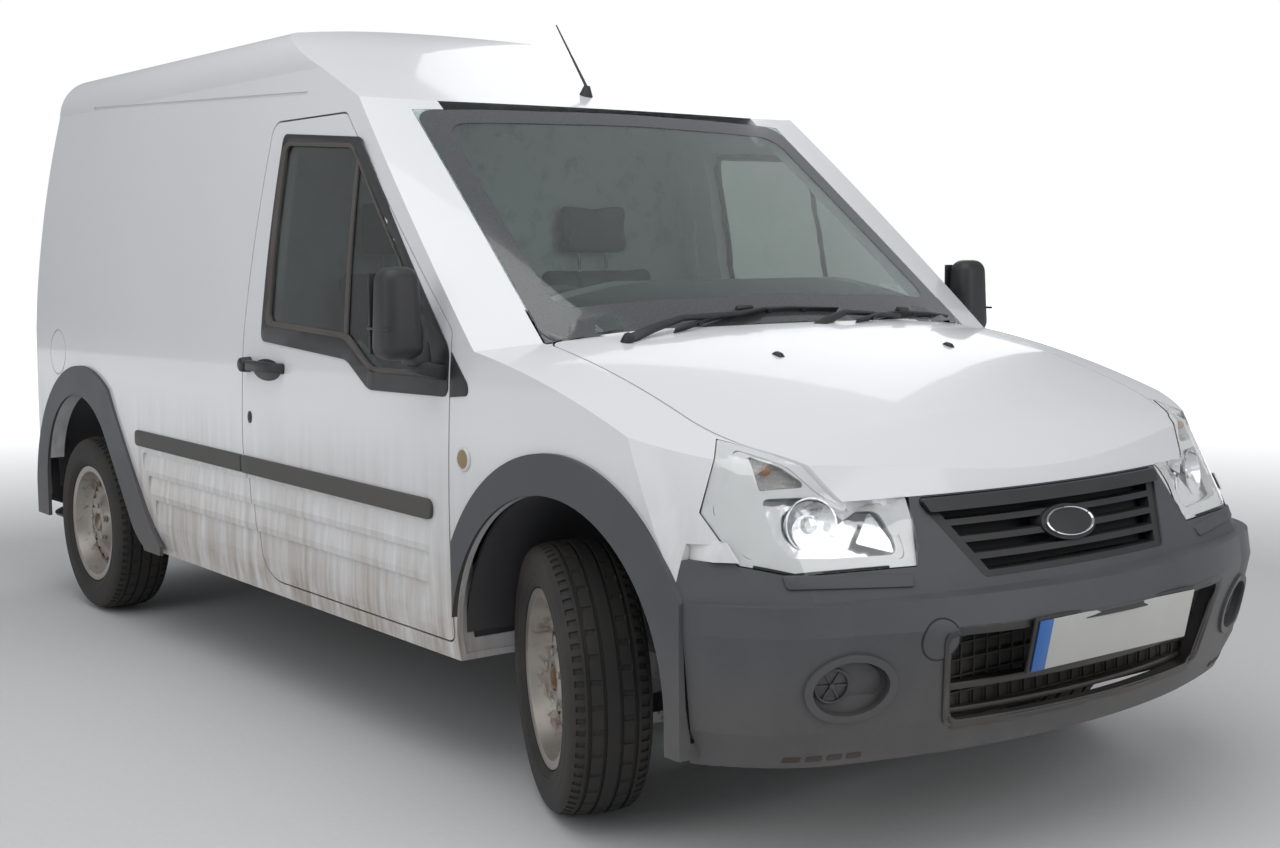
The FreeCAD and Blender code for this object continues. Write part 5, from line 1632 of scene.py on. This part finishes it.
    def intake(self):
        """Surround of the bumper's opening, the two bars across it, the mesh behind them, and a dark plate
        behind the mesh as painted shade.
        """
        bumper = surface_of("front_bumper")
        ahead = 2.5
        outer = end_points(((-0.424, 0.306), (0.424, 0.306), (0.470, 0.532), (-0.470, 0.532)), ahead)
        inner = end_points(((-0.404, 0.323), (0.404, 0.323), (0.447, 0.514), (-0.447, 0.514)), ahead)
        ring = framed_sheet(outer, inner, 0.034, 0.026)
        gridded(ring, (1, 2), 0.03)
        draped(ring, bumper, (-1.0, 0.0, 0.0), lift=-0.0038, probe=0.012)
        thickened(ring, Vector((0.0042, 0.0, 0.0)), 0.0018, 2)
        finished("intake_surround", ring, "chassis", "black_plastic", black_trim())
        bars = bmesh.new()
        for z, depth, height in ((0.388, 0.034, 0.016), (0.336, 0.020, 0.012)):
            bow = []
            for share in (-1.0, -0.8, -0.6, -0.4, -0.2, 0.0, 0.2, 0.4, 0.6, 0.8, 1.0):
                y = 0.415 * share
                found = bumper.ray_cast(Vector((ahead, y, 0.300)), Vector((-1.0, 0.0, 0.0)))
                x = found[0].x if found[0] is not None else 2.19
                bow.append(Vector((x - 0.030, y, z)))
            joined(bars, flat_bar(bow, (depth,) * len(bow), height, (0.0, 0.0, 1.0), 0.003))
        backing = bmesh.new()
        for row in range(6):
            z = 0.335 + row * 0.034
            joined(backing, block((0.006, 0.84, 0.0045), Matrix.Translation((MESH_X, 0.0, z)), 0.001, 1))
        for column in range(22):
            y = -0.42 + column * 0.04
            joined(backing, block((0.006, 0.0045, 0.19), Matrix.Translation((MESH_X, y, 0.418)), 0.001, 1))
        # Solid dark plate behind the mesh: painted shade of the space behind the opening
        joined(backing, block((0.004, 0.86, 0.22), Matrix.Translation((2.108, 0.0, 0.418)), 0.001, 1))
        finished("intake_bars", bars, "chassis", "black_plastic", black_trim())
        finished("intake_mesh", backing, "chassis", "black_plastic", seal_rubber())

    def grille_back(self):
        """Dark panel behind the slats as painted shade of the space behind them, and the bare boss with its
        rim.
        """
        # Dark panel: painted shade behind the grille's slats
        back = block((0.004, 0.72, 0.165), Matrix.Translation((2.052, 0.0, 0.684))
                     @ Matrix.Rotation(math.radians(-32.0), 4, "Y"), 0.001, 1)
        finished("grille_back", back, "chassis", "black_plastic", seal_rubber())
        grille = surface_of("grille")
        found = grille.ray_cast(Vector((2.6, 0.0, 0.690)), Vector((-1.0, 0.0, 0.0)))
        place = fit_axes(found[0] - found[1] * 0.003, found[1])
        rim = turned(((0.90, 0.0), (0.90, 0.0072), (0.95, 0.0090), (1.0, 0.0078), (1.0, 0.0)), steps=64)
        bmesh.ops.scale(rim, vec=BOSS_SIZE, verts=rim.verts)
        field = turned(((0.0001, 0.0082), (0.45, 0.0076), (0.93, 0.0048)), steps=64)
        bmesh.ops.scale(field, vec=BOSS_SIZE, verts=field.verts)
        finished("badge_rim", moved(rim, place), "chassis", "black_plastic", mirror_metal())
        finished("badge_field", moved(field, place), "chassis", "black_plastic", black_trim())


class VAN_OT_plates(Operator):
    """Blank front number plate on its carrier"""

    bl_idname = "van.plates"
    bl_label = "Number plate"

    def execute(self, context):
        carrier = block((0.534, 0.124, 0.010), edge=0.004)
        lean = math.radians(11.9)
        front = fit_axes(mm(2247, 0, 474), (math.cos(lean), 0.0, -math.sin(lean)))
        moved(carrier, front @ Matrix.Translation((0.0, 0.0, -0.0075)))
        face = block((0.520, 0.111, 0.0026), edge=0.0008)
        lip = joined(face, block((0.512, 0.103, 0.0032), edge=0.0008))
        finished("plate_carrier", carrier, "chassis", "black_plastic", black_trim())
        finished("plate_front", moved(lip, front), "chassis", "white_paint", plate_face())
        band = block((0.042, 0.111, 0.0034), Matrix.Translation((-0.239, 0.0, 0.0)), 0.0008)
        finished("plate_band", moved(band, front), "chassis", "white_paint", plate_band())
        return {"FINISHED"}


# Each wiper in millimetres: spindle, arm with its height over the glass, and blade
WIPERS = (
    ((1262, -556, 1060),
     ((1228, -450, 1092, 0.040), (1207, -343, 1114, 0.052), (1220, -167, 1121, 0.040),
      (1212, -76, 1131, 0.034)),
     ((1252, -403, 1083), (1234, -280, 1108), (1218, -158, 1124), (1219, 0, 1126), (1221, 167, 1120))),
    ((1296, -14, 1060),
     ((1262, 90, 1096, 0.030), (1227, 191, 1115, 0.052), (1220, 300, 1108, 0.044),
      (1215, 410, 1098, 0.034)),
     ((1280, 179, 1090), (1240, 300, 1102), (1202, 423, 1105), (1172, 560, 1095), (1140, 676, 1083))),
)


class VAN_OT_wipers(Operator):
    """Two wipers parked along the screen's foot, and the washer nozzles"""

    bl_idname = "van.wipers"
    bl_label = "Wipers"

    def execute(self, context):
        eye = Vector(context.scene.van_stage.eye)
        blade_height = 0.012
        for number, (pivot, arm, blade) in enumerate(WIPERS, 1):
            shape = self.arm(mm(*pivot), [self.towards(mm(x, y, z), eye, lift) for x, y, z, lift in arm])
            joined(shape, self.blade([self.towards(mm(*point), eye, blade_height) for point in blade]))
            finished("wiper_%d" % number, shape, "chassis", "black_plastic", black_trim(), sharp=35.0)
        nozzle = bmesh.new()
        bonnet = surface_of("bonnet")
        for y in (-0.290, 0.290):
            found = bonnet.ray_cast(Vector((1.500, y, 3.0)), Vector((0.0, 0.0, -1.0)))
            body = tapered_block((0.034, 0.020), (0.016, 0.014), 0.009, edge=0.0035, segments=3)
            joined(nozzle, moved(body, fit_axes(found[0] - found[1] * 0.001, found[1], (0.0, 1.0, 0.0))))
        finished("washer_nozzles", nozzle, "bonnet", "black_plastic", black_trim())
        return {"FINISHED"}

    def towards(self, point, eye, distance):
        """The point moved towards the camera, so that it keeps its place in the view."""
        return point + (eye - point).normalized() * distance

    def arm(self, pivot, points):
        """Hub on its spindle, and the arm that tapers away from it."""
        normal = SCREEN_NORMAL
        hub = turned(((0.0001, 0.020), (0.0100, 0.0195), (0.0135, 0.0150), (0.0150, 0.0), (0.0150, -0.020)),
                     steps=28)
        moved(hub, fit_axes(pivot + normal * 0.008, normal))
        bar = flat_bar([pivot + normal * 0.012] + points, (0.026, 0.022, 0.017, 0.012, 0.009), 0.010,
                       normal, 0.0022)
        return joined(hub, bar)

    def blade(self, points):
        """Spine, rubber, and the clips that hold them."""
        normal = SCREEN_NORMAL
        spine = flat_bar([point + normal * 0.008 for point in points],
                         (0.0050, 0.0085, 0.0095, 0.0085, 0.0050), 0.0040, normal, 0.0010)
        rubber = flat_bar([point - normal * 0.001 for point in points], (0.0030,) * 5, 0.0120, normal, 0.0008)
        middle = points[2]
        along = (points[3] - points[1]).normalized()
        clip = block((0.014, 0.014, 0.052), fit_axes(middle + normal * 0.012, along, normal), 0.003)
        for share in (0.30, 0.70):
            near = points[0].lerp(middle, share * 0.9 + 0.1)
            far = middle.lerp(points[4], share * 0.9)
            for place in (near, far):
                joined(clip, block((0.0085, 0.012, 0.016), fit_axes(place + normal * 0.003, along, normal),
                                   0.002))
        return joined(joined(spine, rubber), clip)


# Middle of each seat across the van, and side outlines (x, z) of its pads
SEAT_Y = 0.365
CUSHION_SIDE = ((-0.028, 0.575), (0.420, 0.600), (0.430, 0.672), (-0.028, 0.646))
BACK_SIDE = ((-0.040, 0.655), (-0.172, 1.228), (-0.104, 1.240), (0.038, 0.700))
HEADREST_SIDE = ((-0.172, 1.268), (-0.179, 1.425), (-0.122, 1.430), (-0.112, 1.276))
SWELL_FRAMES = 20
DASH_SLOPE = Vector((-0.50, 0.0, 0.866))


class VAN_OT_seats(Operator):
    """Two cloth seats: padded cushion, back and head restraint on a moulded base"""

    bl_idname = "van.seats"
    bl_label = "Seats"

    def execute(self, context):
        pads = (
            ("cushion", CUSHION_SIDE, 0.228, 0.024, 0.60, (-0.105, 0.105)),
            ("back", BACK_SIDE, 0.218, 0.024, 0.60, (-0.110, 0.110)),
            ("headrest", HEADREST_SIDE, 0.118, 0.014, 0.75, ()),
        )
        replaces = ("seats",)
        for name, side, half_width, cap, fill, channels in pads:
            pad = self.pad(side, half_width)
            self.swollen(context, pad, cap)
            self.channelled(pad, channels)
            for hand, sign in SIDES:
                mesh = pad.copy()
                mesh.transform(Matrix.Translation((0.0, sign * SEAT_Y, 0.0)))
                piece = bpy.data.objects.new("seat_%s_%s" % (name, hand), mesh)
                context.collection.objects.link(piece)
                dress(piece, seat_cloth())
                mesh.shade_smooth()
                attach(piece, "chassis")
                if replaces:
                    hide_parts(*replaces)
                    replaces = ()
            bpy.data.meshes.remove(pad)
        self.frames()
        return {"FINISHED"}

    def pad(self, side, half_width):
        """Closed pad of even small faces, a little under its final size."""
        shape = sheet_of(side_points(side, -half_width), 0.030)
        thickened(shape, Vector((0.0, 2.0 * half_width, 0.0)), 0.022, 3, True)
        bmesh.ops.recalc_face_normals(shape, faces=shape.faces)
        rough = bpy.data.meshes.new("rough_pad")
        shape.to_mesh(rough)
        shape.free()
        carrier = bpy.data.objects.new("rough_pad", rough)
        bpy.context.collection.objects.link(carrier)
        grid = carrier.modifiers.new("Grid", "REMESH")
        grid.mode = "VOXEL"
        grid.voxel_size = 0.009
        ready = bpy.data.meshes.new_from_object(carrier.evaluated_get(bpy.context.evaluated_depsgraph_get()))
        bpy.data.objects.remove(carrier)
        bpy.data.meshes.remove(rough)
        return ready

    def swollen(self, context, mesh, cap):
        """Blow the pad up as cloth, its underside held, and limit how far each point moves."""
        piece = bpy.data.objects.new("swelling_pad", mesh)
        context.collection.objects.link(piece)
        start = [vertex.co.copy() for vertex in mesh.vertices]
        floor = min(point.z for point in start)
        held = piece.vertex_groups.new(name="held")
        held.add([index for index, point in enumerate(start) if point.z < floor + 0.012], 1.0, "REPLACE")
        cloth = piece.modifiers.new("Padding", "CLOTH")
        cloth.settings.use_pressure = True
        cloth.settings.uniform_pressure_force = 4.0
        cloth.settings.vertex_group_mass = "held"
        cloth.settings.effector_weights.gravity = 0.0
        cloth.point_cache.frame_start = 1
        cloth.point_cache.frame_end = SWELL_FRAMES
        for frame_number in range(1, SWELL_FRAMES + 1):
            context.scene.frame_set(frame_number)
        shown = piece.evaluated_get(context.evaluated_depsgraph_get()).data
        for vertex, old, new in zip(mesh.vertices, start, [vertex.co.copy() for vertex in shown.vertices]):
            step = new - old
            vertex.co = old + step * min(1.0, cap / max(step.length, 1e-9))
        bpy.data.objects.remove(piece)
        context.scene.frame_set(1)

    def channelled(self, mesh, channels):
        """Refine the pad once and press its sewn lengthwise seams in."""
        seam_depth = 0.0045
        seam_width = 0.0065
        shape = bmesh.new()
        shape.from_mesh(mesh)
        bmesh.ops.subdivide_edges(shape, edges=shape.edges[:], cuts=1, smooth=0.6, use_grid_fill=True)
        shape.normal_update()
        for vert in shape.verts:
            for place in channels:
                depth = seam_depth * math.exp(-((vert.co.y - place) / seam_width) ** 2)
                vert.co -= vert.normal * depth
        shape.to_mesh(mesh)
        shape.free()

    def frames(self):
        """Moulded bases, rails, recliner covers and head-restraint posts."""
        base = bmesh.new()
        posts = bmesh.new()
        for _, sign in SIDES:
            y = sign * SEAT_Y
            joined(base, block((0.372, 0.372, 0.196), Matrix.Translation((0.190, y, 0.492)), 0.014, 3))
            for side in (-1.0, 1.0):
                rail = Matrix.Translation((0.200, y + side * 0.150, 0.582))
                joined(base, block((0.400, 0.030, 0.022), rail, 0.004))
                cover = Matrix.Translation((-0.020, y + side * 0.236, 0.655)) @ Matrix.Rotation(0.25, 4, "Y")
                joined(base, block((0.115, 0.022, 0.105), cover, 0.010, 4))
                post = [Vector((-0.148, y + side * 0.055, 1.215)), Vector((-0.150, y + side * 0.055, 1.285))]
                joined(posts, rod(post, (0.0055, 0.0055)))
        finished("seat_bases", base, "chassis", "black_plastic", cabin_plastic())
        finished("headrest_posts", posts, "chassis", "steel", plain_steel())


class VAN_OT_dashboard(Operator):
    """Instrument hood, air vents, centre panel, glove-box lid and gear lever"""

    bl_idname = "van.dashboard"
    bl_label = "Dashboard details"

    def execute(self, context):
        trim = bmesh.new()
        hood = fit_axes((0.868, -SEAT_Y, 1.038), DASH_SLOPE, (1.0, 0.0, 0.0))
        joined(trim, tapered_block((0.340, 0.150), (0.290, 0.110), 0.052, hood, 0.014, 4))
        for y in (-0.690, -0.120, 0.120, 0.690):
            place = fit_axes((0.800, y, 0.981), DASH_SLOPE, (1.0, 0.0, 0.0))
            joined(trim, block((0.120, 0.072, 0.012), place, 0.006, 3))
            for row in range(5):
                slat = place @ Matrix.Translation((0.0, -0.024 + 0.012 * row, 0.008))
                joined(trim, block((0.104, 0.0030, 0.0060), slat, 0.0008))
        lean = Matrix.Rotation(math.radians(4.2), 4, "Y")
        lid = Matrix.Translation((0.722, 0.420, 0.800)) @ lean
        joined(trim, block((0.012, 0.400, 0.170), lid, 0.008, 3))
        console = Matrix.Translation((0.716, 0.0, 0.800)) @ lean
        joined(trim, block((0.016, 0.190, 0.220), console, 0.008, 3))
        knob = turned(((0.0001, 0.026), (0.012, 0.024), (0.019, 0.014), (0.019, -0.004),
                       (0.012, -0.018)), steps=28)
        joined(trim, moved(knob, Matrix.Translation((0.560, 0.060, 0.905))))
        lever = [Vector((0.690, 0.040, 0.770)), Vector((0.610, 0.055, 0.840)), Vector((0.560, 0.060, 0.892))]
        joined(trim, rod(lever, (0.010, 0.008, 0.007)))
        finished("dashboard_trim", trim, "chassis", "black_plastic", cabin_plastic())
        return {"FINISHED"}


class VAN_OT_stage(Operator):
    """Pale floor, soft lamps and the camera"""

    bl_idname = "van.stage"
    bl_label = "Stage"

    def execute(self, context):
        settings = context.scene.van_stage
        self.floor(settings)
        self.sky(context, settings)
        lamps = (
            ("overhead_lamp", (1.5, -1.5, 5.2), (0.2, 0.0, 0.6), 5.5, 1.0),
            ("front_lamp", (6.5, 1.5, 3.0), (1.5, 0.0, 0.8), 3.5, 0.45),
            ("side_lamp", (1.0, -7.0, 3.0), (0.0, 0.0, 0.8), 4.5, 0.45),
            ("far_lamp", (-4.0, 5.0, 4.0), (0.0, 0.0, 0.8), 4.0, 0.40),
        )
        for name, place, target, size, share in lamps:
            light = bpy.data.lights.new(name, "AREA")
            light.shape = "SQUARE"
            light.size = size
            light.energy = settings.key_power * share
            lamp = bpy.data.objects.new(name, light)
            lamp.matrix_world = fit_axes(Vector(place), Vector(place) - Vector(target))
            context.collection.objects.link(lamp)
        self.camera(context, settings)
        context.scene.view_settings.view_transform = "Standard"
        return {"FINISHED"}

    def floor(self, settings):
        """Grey floor that fades to white with distance, without lighting the van."""
        shape = bmesh.new()
        bmesh.ops.create_grid(shape, x_segments=8, y_segments=8, size=40.0)
        bmesh.ops.translate(shape, vec=(0.0, 0.0, CAD_BOX[0][2] - 0.0004), verts=shape.verts)
        mesh = bpy.data.meshes.new("studio_floor")
        shape.to_mesh(mesh)
        shape.free()
        floor = bpy.data.objects.new("studio_floor", mesh)
        bpy.context.collection.objects.link(floor)
        paint = Shading("floor_paint", settings.floor, 0.9)
        grain = paint.noise(paint.space(), 60.0, 3.0)
        seen = paint.node("ShaderNodeLightPath")
        direct = paint.tint(paint.spread(grain, 0.3, 0.7), settings.floor,
                            tuple(channel * 0.97 for channel in settings.floor))
        reach = paint.sum("MAXIMUM", seen.outputs["Is Glossy Ray"], seen.outputs["Is Transmission Ray"])
        far = paint.node("ShaderNodeVectorMath", operation="LENGTH")
        paint.link(paint.space(), far.inputs[0])
        fade = paint.spread(far.outputs["Value"], 3.2, 9.0)
        shown = paint.sum("MAXIMUM", reach, seen.outputs["Is Camera Ray"])
        paint.fix(emission_color=(1.0, 1.0, 1.0, 1.0))
        paint.wire(colour=paint.tint(reach, direct, (0.80, 0.80, 0.80)),
                   glow=paint.sum("MULTIPLY", fade, shown))
        mesh.materials.append(paint.material)

    def sky(self, context, settings):
        """White to the camera and through glass, and an even cool light elsewhere."""
        world = bpy.data.worlds.new("studio_sky")
        context.scene.world = world
        world.use_nodes = True
        tree = world.node_tree
        ground = tree.nodes["Background"]
        ground.inputs["Color"].default_value = (0.93, 0.96, 1.0, 1.0)
        ground.inputs["Strength"].default_value = settings.sky_strength
        white = tree.nodes.new("ShaderNodeBackground")
        white.inputs["Color"].default_value = (1.0, 1.0, 1.0, 1.0)
        white.inputs["Strength"].default_value = 1.0
        path = tree.nodes.new("ShaderNodeLightPath")
        mix = tree.nodes.new("ShaderNodeMixShader")
        shown = tree.nodes.new("ShaderNodeMath")
        shown.operation = "MAXIMUM"
        tree.links.new(path.outputs["Is Camera Ray"], shown.inputs[0])
        tree.links.new(path.outputs["Is Transmission Ray"], shown.inputs[1])
        tree.links.new(shown.outputs[0], mix.inputs["Fac"])
        tree.links.new(ground.outputs[0], mix.inputs[1])
        tree.links.new(white.outputs[0], mix.inputs[2])
        tree.links.new(mix.outputs[0], tree.nodes["World Output"].inputs["Surface"])

    def camera(self, context, settings):
        """Camera that stands and looks as the photograph's did."""
        yaw, pitch, roll = settings.turn
        forward = Vector((math.cos(pitch) * math.cos(yaw), math.cos(pitch) * math.sin(yaw), math.sin(pitch)))
        right = forward.cross(Vector((0.0, 0.0, 1.0))).normalized()
        up = right.cross(forward)
        right, up = (right * math.cos(roll) + up * math.sin(roll),
                     up * math.cos(roll) - right * math.sin(roll))
        view = bpy.data.cameras.new("photo_view")
        view.sensor_width = 36.0
        view.lens = settings.lens
        view.clip_end = 200.0
        camera = bpy.data.objects.new("photo_view", view)
        turn = Matrix((right, up, -forward)).transposed().to_4x4()
        camera.matrix_world = Matrix.Translation(settings.eye) @ turn
        context.collection.objects.link(camera)
        context.scene.camera = camera


PIECES = (
    VAN_OT_finishes,
    VAN_OT_wheels,
    VAN_OT_mouldings,
    VAN_OT_windows,
    VAN_OT_mirrors,
    VAN_OT_handles,
    VAN_OT_headlamps,
    VAN_OT_tail_lamps,
    VAN_OT_front_fittings,
    VAN_OT_plates,
    VAN_OT_wipers,
    VAN_OT_seats,
    VAN_OT_dashboard,
    VAN_OT_stage,
)


class VAN_PT_sidebar(Panel):
    """The van's pieces and settings"""

    bl_idname = "VAN_PT_sidebar"
    bl_label = "Panel Van"
    bl_space_type = "VIEW_3D"
    bl_region_type = "UI"
    bl_category = "Panel Van"

    def draw(self, context):
        layout = self.layout
        for group in (context.scene.van_finish, context.scene.van_sizes, context.scene.van_stage):
            for key in group.__annotations__:
                layout.prop(group, key)
        for piece in PIECES:
            layout.operator(piece.bl_idname)


GROUPS = (
    (VanFinish, "van_finish"),
    (VanSizes, "van_sizes"),
    (VanStage, "van_stage"),
)


def register():
    """Register the settings, the operators and the panel."""
    for group, name in GROUPS:
        bpy.utils.register_class(group)
        setattr(bpy.types.Scene, name, PointerProperty(type=group))
    for piece in PIECES:
        bpy.utils.register_class(piece)
    bpy.utils.register_class(VAN_PT_sidebar)


def unregister():
    """Take the panel, the operators and the settings away again."""
    bpy.utils.unregister_class(VAN_PT_sidebar)
    for piece in reversed(PIECES):
        bpy.utils.unregister_class(piece)
    for group, name in reversed(GROUPS):
        delattr(bpy.types.Scene, name)
        bpy.utils.unregister_class(group)


def main():
    """Build every piece."""
    register()
    for piece in PIECES:
        step = piece.bl_idname.split(".")[1]
        getattr(bpy.ops.van, step)()


if __name__ == "__main__":
    main()
